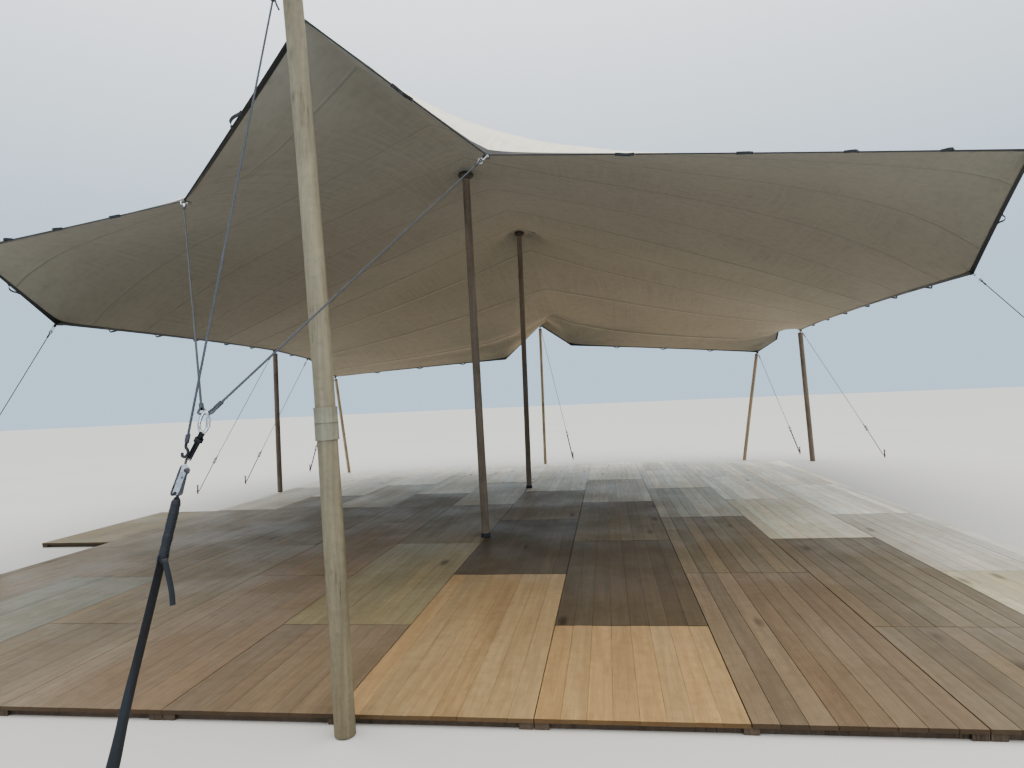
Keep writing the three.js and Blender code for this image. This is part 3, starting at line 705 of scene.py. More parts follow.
def complete(finish, build, shader, colour, rough, relief, depth, strength):
    """Joins a material up: colour, roughness as (mask, span, least), and relief of a depth in metres."""
    build.link(colour, shader["Base Color"])
    build.link(build.maths("MULTIPLY_ADD", *rough), shader["Roughness"])
    bump = build.add("ShaderNodeBump", {"Height": relief, "Distance": depth, "Strength": strength})
    build.link(bump.outputs[0], shader["Normal"])
    return finish


def shade(colour, factor):
    """A colour made lighter or darker, with full alpha."""
    return tuple(min(1.0, channel * factor) for channel in colour[:3]) + (1.0,)


def linear(colour):
    """An sRGB colour as the linear one that shaders take."""
    return tuple(c / 12.92 if c <= 0.04045 else ((c + 0.055) / 1.055) ** 2.4 for c in colour)


@cache
def cloth_finish(name, colour, grime, seam_shade):
    """Knitted stretch cloth: fine ribs, clouds of dust, darker sewn seams."""
    finish, build, shader = new_finish(name, roughness=0.82, specular=0.25)
    place = build.add("ShaderNodeUVMap", uv_map="cloth").outputs[0]
    mottle = build.mottle(place, 0.55, 9.0)
    weave = build.group(weave_group(), {"Place": place, "Thread": 0.0016, "Slub": 0.35})
    seams = build.group(seam_group(), {"Place": place})
    streaks = build.noise(build.vector("MULTIPLY", place, (14.0, 0.35, 1.0)), 2.0, 5.0)
    base = build.mix(mottle["Clouds"], shade(colour, 0.90), shade(colour, 1.07))
    base = build.mix(build.ramp(streaks, 0.35, 0.7), base, shade(colour, 1.03))
    base = build.stained(
        base, (mottle["Specks"], grime, shade(colour, 0.62)),
        (seams["Band"], 0.75, shade(colour, seam_shade)), (seams["Stitches"], 0.5, shade(colour, 0.45)))
    shader["Sheen Weight"].default_value = 0.05
    shader["Sheen Roughness"].default_value = 0.5
    shader["Subsurface Weight"].default_value = 0.3
    shader["Subsurface Radius"].default_value = (1.0, 0.85, 0.62)
    shader["Subsurface Scale"].default_value = 0.006
    relief = build.plus(weave["Height"], build.times(seams["Stitches"], 1.5))
    return complete(finish, build, shader, base, (mottle["Specks"], 0.1, 0.78), relief, 0.0004, 0.25)


@cache
def webbing_finish(name, colour, wear):
    """Woven strap: a coarse twill with paler worn threads and dust."""
    finish, build, shader = new_finish(name, roughness=0.5, specular=0.4)
    place = build.add("ShaderNodeUVMap", uv_map="cloth").outputs[0]
    weave = build.group(weave_group(), {"Place": place, "Thread": 0.0028, "Slub": 0.5})["Height"]
    mottle = build.mottle(build.spot(), 3.0, 60.0)
    base = build.mix(build.ramp(weave, 0.3, 1.0), shade(colour, 0.6), shade(colour, 1.7))
    base = build.stained(
        base, (mottle["Specks"], wear, shade(colour, 4.0)), (mottle["Clouds"], 0.2, shade(colour, 2.0)))
    return complete(finish, build, shader, base, (mottle["Clouds"], 0.15, 0.40), weave, 0.0005, 0.4)


@cache
def pole_finish(name, colour, knot_shade, stain):
    """A peeled and weathered pole: long grain, drying cracks, knots and smudges."""
    finish, build, shader = new_finish(name, roughness=0.62, specular=0.35)
    spot = build.spot()
    grain = build.group(grain_group(), {
        "Place": spot, "Stretch": (1.0, 1.0, 0.045), "Scale": 34.0, "Knot Scale": 6.0})
    mottle = build.mottle(spot, 2.2, 28.0)
    crack = build.noise(build.vector("MULTIPLY", spot, (1.0, 1.0, 0.012)), 75.0, 2.0)
    from_crack = build.absolute(build.minus(crack, 0.5))
    cracks = build.times(build.less(build.ramp(from_crack, 0.004, 0.016)),
                       build.ramp(mottle["Clouds"], 0.3, 0.9))
    base = build.mix(grain["Figure"], shade(colour, 0.80), shade(colour, 1.16))
    base = build.stained(
        base, (grain["Pores"], 0.35, shade(colour, 0.6)), (mottle["Clouds"], stain, shade(colour, 0.66)),
        (mottle["Specks"], 0.3, shade(colour, 0.5)), (grain["Knots"], 0.8, shade(colour, knot_shade)),
        (cracks, 0.7, shade(colour, 0.2)))
    relief = build.minus(grain["Figure"], build.times(cracks, 2.0))
    relief = build.minus(relief, build.times(grain["Pores"], 0.5))
    return complete(finish, build, shader, base, (grain["Figure"], 0.18, 0.52), relief, 0.0012, 0.7)


@cache
def board_finish():
    """Deck boards: each with its own tone and its own stretch of grain, scuffed and stained."""
    finish, build, shader = new_finish("deck_board_wood", roughness=0.5, specular=0.35)
    # Each board's tone includes the painted light towards the back and the right of the deck.
    tone = build.add("ShaderNodeAttribute", attribute_name="tone").outputs["Color"]
    shift = build.add("ShaderNodeAttribute", attribute_name="shift").outputs["Vector"]
    board_end = build.add("ShaderNodeAttribute", attribute_name="mark").outputs["Fac"]
    spot = build.spot()
    grain = build.group(grain_group(), {
        "Place": build.vector("ADD", spot, shift), "Stretch": (1.0, 0.05, 1.0), "Scale": 26.0,
        "Knot Scale": 2.6})
    mottle = build.mottle(spot, 0.9, 14.0)
    dark, light, darkest = (
        build.mix(1.0, tone, (*share, 1.0), "MULTIPLY")
        for share in ((0.62, 0.58, 0.55), (1.18, 1.16, 1.14), (0.22, 0.17, 0.14)))
    scuff = build.noise(build.vector("MULTIPLY", spot, (1.0, 0.22, 1.0)), 5.5, 8.0, 0.75)
    base = build.mix(grain["Figure"], build.mix(0.45, tone, dark), build.mix(0.6, tone, light))
    base = build.stained(
        base, (grain["Pores"], 0.30, dark), (mottle["Clouds"], 0.28, dark), (mottle["Specks"], 0.40, dark),
        (grain["Knots"], 0.75, darkest), (build.ramp(scuff, 0.60, 0.74), 0.45, darkest),
        (board_end, 0.8, darkest))
    relief = build.minus(grain["Figure"], build.times(grain["Pores"], 0.8))
    return complete(finish, build, shader, base, (mottle["Clouds"], 0.16, 0.46), relief, 0.0008, 0.6)


@cache
def steel_finish(name, colour, rust, roughness):
    """Zinc plated or forged steel: brushed, with grime or rust in patches."""
    finish, build, shader = new_finish(name, roughness=roughness, metallic=1.0)
    mottle = build.mottle(build.spot(), 14.0, 220.0)
    patches = build.maths("MAXIMUM", mottle["Clouds"], mottle["Specks"])
    rusty = build.times(patches, rust, clamp=True)
    base = build.mix(mottle["Clouds"], shade(colour, 0.8), shade(colour, 1.05))
    base = build.mix(rusty, base, (0.14, 0.062, 0.03, 1.0))
    build.link(build.less(rusty), shader["Metallic"])
    return complete(finish, build, shader, base, (rusty, 0.5, roughness), mottle["Specks"], 0.0003, 0.5)


@cache
def rope_finish(name, colour):
    """Rope: fine fibres and a little dust."""
    finish, build, shader = new_finish(name, roughness=0.7, specular=0.3)
    mottle = build.mottle(build.spot(), 5.0, 260.0)
    specks = mottle["Specks"]
    base = build.mix(specks, shade(colour, 0.65), shade(colour, 1.5))
    base = build.stained(base, (mottle["Clouds"], 0.4, shade(colour, 0.6)))
    return complete(finish, build, shader, base, (specks, 0.15, 0.62), specks, 0.0004, 0.8)


@cache
def rubber_finish(name, colour, dust):
    """Rubber or coated cloth on the pole caps and feet, scuffed and dusty."""
    finish, build, shader = new_finish(name, roughness=0.7, specular=0.35)
    mottle = build.mottle(build.spot(), 9.0, 120.0)
    clouds, specks = mottle["Clouds"], mottle["Specks"]
    base = build.stained(
        shade(colour, 1.0), (clouds, dust, shade(colour, 4.0)), (specks, 0.5, shade(colour, 0.6)))
    return complete(finish, build, shader, base, (clouds, 0.15, 0.6), specks, 0.0005, 0.6)


def settings():
    return bpy.context.scene.stretch_tent


def hem_webbing():
    return webbing_finish("hem_webbing", tuple(settings().cloth.webbing), 0.25)


def black_strap():
    return webbing_finish("black_strap", tuple(settings().ropes.strap), 0.2)


def bright_steel():
    return steel_finish("bright_steel", tuple(settings().ropes.steel), 0.12, 0.24)


def stake_steel():
    return steel_finish("stake_steel", (0.34, 0.32, 0.30), 0.75, 0.5)


def guy_rope():
    return rope_finish("guy_rope", tuple(settings().ropes.colour))


def rope_piece(name, shape, replaces=()):
    return new_piece(name, shape, [guy_rope()], replaces)


def strap_piece(name, shape, replaces=(), crease=40.0):
    return new_piece(name, shape, [black_strap()], replaces, crease)


# Geometry Nodes


def new_growth(name, output, inputs):
    """A geometry tree over points, with inputs of its own, the finish and one output."""
    return new_tree(name, "GeometryNodeTree",
                    [("Points", GEOMETRY, None), *inputs, ("Finish", MATERIAL, None)],
                    [(output, GEOMETRY, None)])


def give_out(build, given, target, geometry):
    """Ends a geometry tree: everything made real, in the finish that was given."""
    real = build.add("GeometryNodeRealizeInstances", {"Geometry": geometry}).outputs[0]
    finished = build.add("GeometryNodeSetMaterial", {"Geometry": real, "Material": given["Finish"]})
    build.link(finished.outputs[0], target)
    return build.tree


@cache
def copies_tree():
    """One item on every point, turned by the point's 'turn' and scaled by its 'size'."""
    build, given, out = new_growth("copies_on_points", "Copies", [("Item", "NodeSocketObject", None)])
    item = build.add("GeometryNodeObjectInfo", {"Object": given["Item"]}).outputs["Geometry"]
    turn = build.add("GeometryNodeInputNamedAttribute", {"Name": "turn"}, data_type="QUATERNION")
    size = build.add("GeometryNodeInputNamedAttribute", {"Name": "size"}, data_type="FLOAT_VECTOR")
    spread = build.add("GeometryNodeInstanceOnPoints", {
        "Points": given["Points"], "Instance": item, "Rotation": turn.outputs["Attribute"],
        "Scale": size.outputs["Attribute"]}).outputs[0]
    return give_out(build, given, out["Copies"], spread)


@cache
def laid_rope_tree():
    """A straight rope of three strands laid round each other."""
    build, given, out = new_growth(
        "laid_rope", "Rope",
        [("Start", VECTOR, None), ("End", VECTOR, None), ("Diameter", FLOAT, 0.01),
         ("Lay Length", FLOAT, 0.055), ("Step", FLOAT, 0.005), ("Groove", FLOAT, 0.22)])
    line = build.add("GeometryNodeCurvePrimitiveLine", {"Start": given["Start"], "End": given["End"]})
    steps = build.add("GeometryNodeResampleCurve", {"Curve": line.outputs[0], "Length": given["Step"]},
                      mode="LENGTH").outputs[0]
    run = build.add("GeometryNodeSplineParameter").outputs["Length"]
    turns = build.times(build.over(run, given["Lay Length"]), 2 * math.pi)
    tilted = build.add("GeometryNodeSetCurveTilt", {"Curve": steps, "Tilt": turns}).outputs[0]
    circle = build.add("GeometryNodeCurvePrimitiveCircle", {
        "Resolution": 12, "Radius": build.over(given["Diameter"], 2.0)}).outputs[0]
    spot = build.add("GeometryNodeInputPosition").outputs[0]
    parts = build.add("ShaderNodeSeparateXYZ", {0: spot}).outputs
    angle = build.maths("ARCTAN2", parts[1], parts[0])
    lobe = build.absolute(build.maths("SINE", build.times(angle, 1.5)))
    depth = build.times(build.minus(lobe, 1.0), given["Groove"])
    inward = build.add("ShaderNodeVectorMath", {0: spot, "Scale": depth}, operation="SCALE").outputs[0]
    section = build.add("GeometryNodeSetPosition", {"Geometry": circle, "Offset": inward}).outputs[0]
    return give_out(build, given, out["Rope"], build.tube(tilted, section))


@cache
def coil_tree():
    """Turns of cord wound up the Z axis from the origin."""
    build, given, out = new_growth(
        "coil", "Coil", [("Turns", FLOAT, 3.0), ("Radius", FLOAT, 0.01), ("Height", FLOAT, 0.02),
                         ("Wire Radius", FLOAT, 0.003)])
    spiral = build.add("GeometryNodeCurveSpiral", {
        "Resolution": 20, "Rotations": given["Turns"], "Start Radius": given["Radius"],
        "End Radius": given["Radius"], "Height": given["Height"]}).outputs[0]
    circle = build.add("GeometryNodeCurvePrimitiveCircle", {
        "Resolution": 8, "Radius": given["Wire Radius"]}).outputs[0]
    return give_out(build, given, out["Coil"], build.tube(spiral, circle))


def grown(tree, values, points=None):
    """Runs a Geometry Nodes tree over a mesh of points, and gives the result as a plain mesh."""
    carrier_mesh = points or bpy.data.meshes.new("carrier")
    carrier = shown(bpy.data.objects.new("carrier", carrier_mesh))
    modifier = carrier.modifiers.new("grown", "NODES")
    modifier.node_group = tree
    identifiers = {s.name: s.identifier for s in tree.interface.items_tree if s.in_out == "INPUT"}
    for name, value in values.items():
        modifier[identifiers[name]] = value
    evaluated = carrier.evaluated_get(bpy.context.evaluated_depsgraph_get())
    mesh = bpy.data.meshes.new_from_object(evaluated)
    bpy.data.objects.remove(carrier)
    bpy.data.meshes.remove(carrier_mesh)
    if not mesh.vertices:
        raise RuntimeError(f"{tree.name} made nothing")
    return mesh


def points_with(places, turns, sizes, colours=None, shifts=None):
    """A mesh of loose points that carry the turn, size, tone and shift of what goes on them."""
    mesh = bpy.data.meshes.new("points")
    mesh.from_pydata([tuple(p) for p in places], [], [])
    rows = [("turn", "QUATERNION", "value", turns), ("size", "FLOAT_VECTOR", "vector", sizes),
            ("tone", "FLOAT_COLOR", "color", colours), ("shift", "FLOAT_VECTOR", "vector", shifts)]
    for name, kind, field, values in rows:
        if values is not None:
            attribute = mesh.attributes.new(name, kind, "POINT")
            attribute.data.foreach_set(field, np.array(values, np.float32).ravel())
    return mesh


def copies(item, finish, places, turns=None, sizes=None, colours=None, shifts=None):
    """Realised copies of a shape as a plain mesh, unturned and in its own size if not told otherwise."""
    item_mesh = bpy.data.meshes.new("item")
    item_mesh.from_pydata(item.points, [], item.faces)
    turn_outwards(item_mesh)
    mark = item_mesh.attributes.new("mark", "FLOAT", "POINT")
    mark.data.foreach_set("value", [u for u, _ in item.cloth_places])
    item_object = shown(bpy.data.objects.new("item", item_mesh))
    points = points_with(places, turns or [(1.0, 0.0, 0.0, 0.0)] * len(places),
                         sizes or [(1.0, 1.0, 1.0)] * len(places), colours, shifts)
    mesh = grown(copies_tree(), {"Item": item_object, "Finish": finish}, points)
    bpy.data.objects.remove(item_object)
    bpy.data.meshes.remove(item_mesh)
    for name in ("turn", "size"):
        attribute = mesh.attributes.get(name)
        if attribute:
            mesh.attributes.remove(attribute)
    mesh.materials.clear()
    return mesh


def shape_of(mesh):
    """A mesh's points and faces as a shape, so that it can be joined with others."""
    points = [tuple(v.co) for v in mesh.vertices]
    faces = [tuple(p.vertices) for p in mesh.polygons]
    bpy.data.meshes.remove(mesh)
    return Shape().add(points, faces)


def laid_rope(start, end):
    """A laid rope between two points, as a shape."""
    ropes = settings().ropes
    return shape_of(grown(laid_rope_tree(), {
        "Start": tuple(start), "End": tuple(end), "Diameter": ropes.diameter, "Lay Length": ropes.lay,
        "Step": 0.0055, "Groove": 0.22, "Finish": guy_rope()}))


def coil(start, end, radius, wire):
    """Cord wound round the line from start to end, each turn against the last."""
    height = float(np.linalg.norm(np.subtract(end, start)))
    wound = shape_of(grown(coil_tree(), {
        "Turns": max(1.0, height / (2 * wire)), "Radius": radius, "Height": height,
        "Wire Radius": wire, "Finish": guy_rope()}))
    return wound.moved(along(start, end))


def wrap(at, direction, low, high, radius, wire):
    """Cord wound round a line from one distance along it to another, counted from a point on it."""
    return coil(at + direction * low, at + direction * high, radius, wire)


# The cloth's own shape


def grid_values(keys, cell):
    """Every key value, with even steps between."""
    keys = sorted({round(k, 4) for k in keys})
    values = []
    for low, high in zip(keys, keys[1:]):
        steps = max(1, round((high - low) / cell))
        values.extend(np.linspace(low, high, steps, endpoint=False))
    return np.array(values + [keys[-1]])


def hem_line(hem, places):
    """Points on one hem. Between two held points it bows inwards and a little up."""
    held_places = np.array([place for place, _ in hem])
    held = np.array([point for _, point in hem])
    i = np.clip(np.searchsorted(held_places, places, side="left") - 1, 0, len(hem) - 2)
    s = ((places - held_places[i]) / (held_places[i + 1] - held_places[i]))[:, None]
    start, chord = held[i], held[i + 1] - held[i]
    bow = 4 * s * (1 - s) * (chord ** 2).sum(axis=1)[:, None] / (8 * HEM_CURVE_RADIUS)
    inward = np.stack([-chord[:, 1], chord[:, 0], np.zeros(len(chord))], axis=1)
    inward /= np.linalg.norm(inward, axis=1)[:, None]
    outwards = ((start + chord / 2) * inward).sum(axis=1) > 0
    inward[outwards] *= -1
    line = start + s * chord + inward * bow
    line[:, 2] += HEM_RISE_SHARE * bow[:, 0]
    return line


def plan_grid(us, vs):
    """Points blended from the four hems, with the nodes near a pole drawn over it."""
    U = ((us - LEFT_X) / (RIGHT_X - LEFT_X))[None, :, None]
    V = ((vs - FRONT_Y) / (BACK_Y - FRONT_Y))[:, None, None]
    front, back = hem_line(HEMS["front"], us)[None], hem_line(HEMS["back"], us)[None]
    left, right = hem_line(HEMS["left"], vs)[:, None], hem_line(HEMS["right"], vs)[:, None]
    grid = front * (1 - V) + back * V + left * (1 - U) + right * U
    grid -= (1 - U) * (1 - V) * np.array(FRONT_LEFT) + U * (1 - V) * np.array(FRONT_RIGHT)
    grid -= (1 - U) * V * np.array(BACK_LEFT) + U * V * np.array(BACK_RIGHT)
    for (u, v), at in HEADS.values():
        row, column = np.argmin(abs(vs - v)), np.argmin(abs(us - u))
        shift = np.array(at)[:2] - grid[row, column, :2]
        away = np.hypot(us[None] - u, vs[:, None] - v) / HEAD_PULL_REACH
        grid[..., :2] += np.exp(-away ** 2)[..., None] * shift
    return grid


def grid_cells(rows, columns):
    """Row, column and first point of every cell in a grid of points."""
    row, column = np.mgrid[0:rows - 1, 0:columns - 1]
    return row, column, (row * columns + column).ravel()


def cloth_pulls(grid, us):
    """Pairs of neighbours, how hard each pair pulls, and the lift that keeps the cloth full."""
    rows, columns = grid.shape[:2]
    flat = grid[..., :2].reshape(-1, 2)
    row, column, a = grid_cells(rows, columns)
    b, c, d = a + 1, a + columns, a + columns + 1
    flip = ((column < columns / 2) == (row < rows / 2)).ravel()
    first = np.stack([a, b, np.where(flip, d, c)], axis=1)
    second = np.stack([np.where(flip, a, b), d, c], axis=1)
    triangles = np.concatenate([first, second])
    pairs, weights, lifts = [], [], np.zeros(len(flat))
    for k in range(3):
        apex, i, j = triangles[:, k], triangles[:, (k + 1) % 3], triangles[:, (k + 2) % 3]
        p, q = flat[i] - flat[apex], flat[j] - flat[apex]
        twice_area = abs(p[:, 0] * q[:, 1] - p[:, 1] * q[:, 0])
        pairs.append(np.stack([i, j], axis=1))
        weights.append(np.maximum(LEAST_PULL, (p * q).sum(axis=1) / twice_area))
        np.add.at(lifts, apex, FULLNESS * twice_area / 3)
    ridge = np.arange(rows) * columns + int(np.argmin(abs(us)))
    pairs.append(np.stack([ridge[:-1], ridge[1:]], axis=1))
    weights.append(RIDGE_BELT_LENGTH / np.linalg.norm(flat[ridge[:-1]] - flat[ridge[1:]], axis=1))
    return np.concatenate(pairs), np.concatenate(weights), lifts


def settled(heights, free, pairs, weights, lifts):
    """Heights at which every free node's pulls balance, by conjugate gradients."""
    i, j = pairs.T
    count = len(heights)

    def pull(z):
        tug = weights * (z[i] - z[j])
        return np.bincount(i, tug, count) - np.bincount(j, tug, count)

    total = np.bincount(i, weights, count) + np.bincount(j, weights, count)
    rest = np.where(free, lifts - pull(heights), 0.0)
    move = rest / total
    worth = rest @ move
    goal = NEAR_ENOUGH * worth
    for _ in range(MOST_ROUNDS):
        push = np.where(free, pull(move), 0.0)
        step = worth / (move @ push)
        heights = heights + step * move
        rest = rest - step * push
        eased = rest / total
        next_worth = rest @ eased
        if next_worth < goal:
            break
        move = eased + (next_worth / worth) * move
        worth = next_worth
    return heights


def hem_place(side, place, inset):
    """(u, v) of a place along one side, a distance in from the hem."""
    return {
        "front": (place, FRONT_Y + inset),
        "back": (place, BACK_Y - inset),
        "left": (LEFT_X + inset, place),
        "right": (RIGHT_X - inset, place),
    }[side]


# How folds spread: their depth, how many go round the held point and how far they reach.
HEM_FOLDS = (0.010, 11, 0.55)
HEAD_FOLDS = (0.008, 7, 0.5)
FOLDS_START, FOLDS_RISE = 0.15, 0.35
FLAT_AT_HEM = 0.25


def tension_folds(us, vs):
    """Small folds that spread from every held point, and a slow unevenness between them."""
    U, V = us[None], vs[:, None]
    folds = 0.0035 * np.sin(1.9 * U + 0.7) * np.sin(1.3 * V + 0.4)
    folds = folds + 0.002 * np.sin(3.7 * U - 1.1 * V) * np.sin(2.9 * V + 1.0)
    held = {hem_place(side, place, 0.0) for side, hem in HEMS.items() for place, _ in hem}
    spread = [(*place, *HEM_FOLDS) for place in sorted(held)]
    spread += [(*place, *HEAD_FOLDS) for place, _ in HEADS.values()]
    for number, (u, v, depth, count, reach) in enumerate(spread):
        away = np.hypot(U - u, V - v)
        angle = np.arctan2(V - v, U - u)
        start = np.clip((away - FOLDS_START) / FOLDS_RISE, 0.0, 1.0) ** 2
        folds = folds + depth * start * np.exp(-away / reach) * np.cos(count * angle + number)
    from_hem = np.minimum(np.minimum(U - LEFT_X, RIGHT_X - U), np.minimum(V - FRONT_Y, BACK_Y - V))
    return folds * np.clip(from_hem / FLAT_AT_HEM, 0.0, 1.0)


class Cloth:
    """The cloth's middle surface as a grid, with a point and a normal at any place on it."""

    def __init__(self, cell, webbing_width):
        us = [LEFT_X, LEFT_X + webbing_width, RIGHT_X - webbing_width, RIGHT_X]
        vs = [FRONT_Y, FRONT_Y + webbing_width, BACK_Y - webbing_width, BACK_Y]
        for (u, v), _ in HEADS.values():
            us += [u - HEAD_RADIUS, u, u + HEAD_RADIUS]
            vs += [v - HEAD_RADIUS, v, v + HEAD_RADIUS]
        us += [place for side in ("front", "back") for place, _ in HEMS[side]]
        vs += [place for side in ("left", "right") for place, _ in HEMS[side]]
        self.us, vs = grid_values(us, cell), grid_values(vs, cell)
        grid = plan_grid(self.us, vs)
        free = np.zeros(grid.shape[:2], bool)
        free[1:-1, 1:-1] = True
        for (u, v), at in HEADS.values():
            away = np.hypot(self.us[None] - u, vs[:, None] - v)
            on_head = away < HEAD_RADIUS + 0.001
            grid[..., 2][on_head] = at[2] - HEAD_DOME * away[on_head] ** 2
            free &= ~on_head
        pairs, weights, lifts = cloth_pulls(grid, self.us)
        heights = settled(grid[..., 2].ravel(), free.ravel(), pairs, weights, lifts)
        grid[..., 2] = heights.reshape(grid.shape[:2])
        self.vs = self.with_seam_lines(vs)
        self.points = np.stack([
            np.stack([np.interp(self.vs, vs, line) for line in grid[..., axis].T], axis=1)
            for axis in range(3)], axis=2)
        self.points[..., 2] += tension_folds(self.us, self.vs)
        tangent_u = np.gradient(self.points, self.us, axis=1)
        tangent_v = np.gradient(self.points, self.vs, axis=0)
        normals = np.cross(tangent_u, tangent_v)
        self.normals = normals / np.linalg.norm(normals, axis=2)[..., None]

    @staticmethod
    def with_seam_lines(vs):
        """The rows, with the four lines of each seam added."""
        foot, shoulder = 1.25 * SEAM_HALF_WIDTH, SEAM_HALF_WIDTH
        lines = (SEAMS[:, None] + np.array((-foot, -shoulder, shoulder, foot))).ravel()
        clear = [v for v in vs if min(abs(lines - v)) > LEAST_ROW]
        return np.array(sorted([*clear, *lines]))

    def thickness(self, base):
        """Half the thickness at each row: a seam is nearly two layers of cloth thick."""
        away = abs(self.vs[:, None] - SEAMS[None]).min(axis=1)
        return np.where(away < 1.05 * SEAM_HALF_WIDTH, SEAM_THICKNESS, 1.0) * base / 2

    def place_over(self, x, y, u, v):
        """The place on the cloth that lies over a point of the plan, searched from a place near it."""
        for _ in range(12):
            here, _ = self.at(u, v)
            u, v = u + x - here[0], v + y - here[1]
        return u, v

    def at(self, u, v, lift=0.0):
        """The point at a place on the cloth, lifted off it, and the normal there."""
        column = int(np.clip(np.searchsorted(self.us, u) - 1, 0, len(self.us) - 2))
        row = int(np.clip(np.searchsorted(self.vs, v) - 1, 0, len(self.vs) - 2))
        s = (u - self.us[column]) / (self.us[column + 1] - self.us[column])
        t = (v - self.vs[row]) / (self.vs[row + 1] - self.vs[row])

        def blend(field):
            near, far = field[row, column], field[row + 1, column + 1]
            corner = field[row, column + 1] if s > t else field[row + 1, column]
            return near * (1 - max(s, t)) + corner * abs(s - t) + far * min(s, t)

        normal = unit(blend(self.normals))
        return blend(self.points) + lift * normal, normal


@cache
def cloth():
    """The tent's one cloth, worked out once."""
    given = settings().cloth
    return Cloth(given.cell, given.webbing_width)


# The rows and columns of the cloth's grid at each side: the outermost and the one inside it.
SIDE_LINES = {
    "front": (np.s_[0], np.s_[1]),
    "back": (np.s_[-1], np.s_[-2]),
    "left": (np.s_[:, 0], np.s_[:, 1]),
    "right": (np.s_[:, -1], np.s_[:, -2]),
}


def quaternion(x, y, z):
    """The turn that takes the axes to three given directions, as w, x, y, z."""
    return tuple(Matrix(np.stack([x, y, z], axis=1).tolist()).to_quaternion())


# Operators


class TENT_OT_canopy(bpy.types.Operator):
    """Makes the one stretched cloth, with its sewn seams and the round patches at the poles"""

    bl_idname = "stretch_tent.canopy"
    bl_label = "Canopy"

    EDGE_INSET = 0.004
    PATCH_RADIUS = 0.28
    PATCH_RINGS, PATCH_SIDES = 14, 72
    PATCH_SUNK, PATCH_PROUD = 0.0002, 0.0022
    PATCH_PLACE = 0.4

    def execute(self, context):
        given, sheet = settings().cloth, cloth()
        outer = cloth_finish("cloth_outer", tuple(given.outer), 0.30, 0.80)
        inner = cloth_finish("cloth_inner", tuple(given.inner), 0.22, 0.80)
        piece = new_piece("canopy_cloth", self.sheet_shape(sheet), [outer, inner],
                          ["canopy"], 60.0)
        patch = cloth_finish("patch_outer", tuple(0.9 * c for c in given.outer), 0.35, 0.80)
        for name, held in HEADS.items():
            self.add_patches(name, *held, patch, inner)
        return {"FINISHED"}

    def sheet_shape(self, sheet):
        """The cloth with its thickness: the outer face is finish 0, the inner face and the edge 1."""
        given = settings().cloth
        half = sheet.thickness(given.thickness)[:, None, None]
        points = sheet.points.copy()
        for outermost, inside in SIDE_LINES.values():
            points[outermost] += (points[inside] - points[outermost]) * self.EDGE_INSET / given.webbing_width
        top, under = points + sheet.normals * half, points - sheet.normals * half
        rows, columns = top.shape[:2]
        first = rows * columns
        a = grid_cells(rows, columns)[2]
        upper = np.stack([a, a + 1, a + columns + 1, a + columns], axis=1)
        lower = first + np.stack([a, a + columns, a + columns + 1, a + 1], axis=1)
        rim = [*range(columns), *range(2 * columns - 1, first, columns),
               *range(first - 2, first - columns - 1, -1), *range(first - 2 * columns, 0, -columns)]
        edge = [(a, first + a, first + b, b) for a, b in zip(rim, rim[1:] + rim[:1])]
        places = [(u, v) for v in sheet.vs for u in sheet.us]
        shape = Shape().add([*top.reshape(-1, 3), *under.reshape(-1, 3)],
                            [*upper.tolist(), *lower.tolist(), *edge], 0, places + places)
        shape.finishes = [0] * len(upper) + [1] * (len(lower) + len(edge))
        return shape

    def add_patches(self, name, place, head, outer, inner):
        """Round patches of doubled cloth where a pole bears on it, above and below."""
        rings, sides, sheet = self.PATCH_RINGS, self.PATCH_SIDES, cloth()
        reaches = [self.PATCH_RADIUS * ring / rings for ring in range(1, rings + 1)]
        angles = [2 * math.pi * k / sides for k in range(sides)]
        ways = [(reach * math.cos(a), reach * math.sin(a)) for reach in reaches for a in angles]
        spots = [place]
        for number, (x, y) in enumerate(ways):
            near = spots[-1] if number % sides else place
            spots.append(sheet.place_over(head[0] + x, head[1] + y, *near))
        count, rim = len(spots), len(spots) - sides
        disc = [(0, 1 + k, 1 + (k + 1) % sides) for k in range(sides)]
        disc += [tuple(1 + i for i in face) for face in tube_faces(rings, sides)]
        faces = disc + [tuple(count + i for i in face) for face in disc]
        for k in range(sides):
            a, b = rim + k, rim + (k + 1) % sides
            faces.append((a, b, count + b, count + a))
        places = [(0.0, 0.0)] + [(x, self.PATCH_PLACE + y) for x, y in ways]
        for face, side, finish in (("top", 1, outer), ("under", -1, inner)):
            base = settings().cloth.thickness / 2 * side
            layers = (base - self.PATCH_SUNK * side, base + self.PATCH_PROUD * side)
            points = [sheet.at(*spot, layer)[0] for layer in layers for spot in spots]
            shape = Shape().add(points, faces, 0, places + places)
            new_piece(f"{name}_{face}_patch", shape, [finish], crease=60.0)


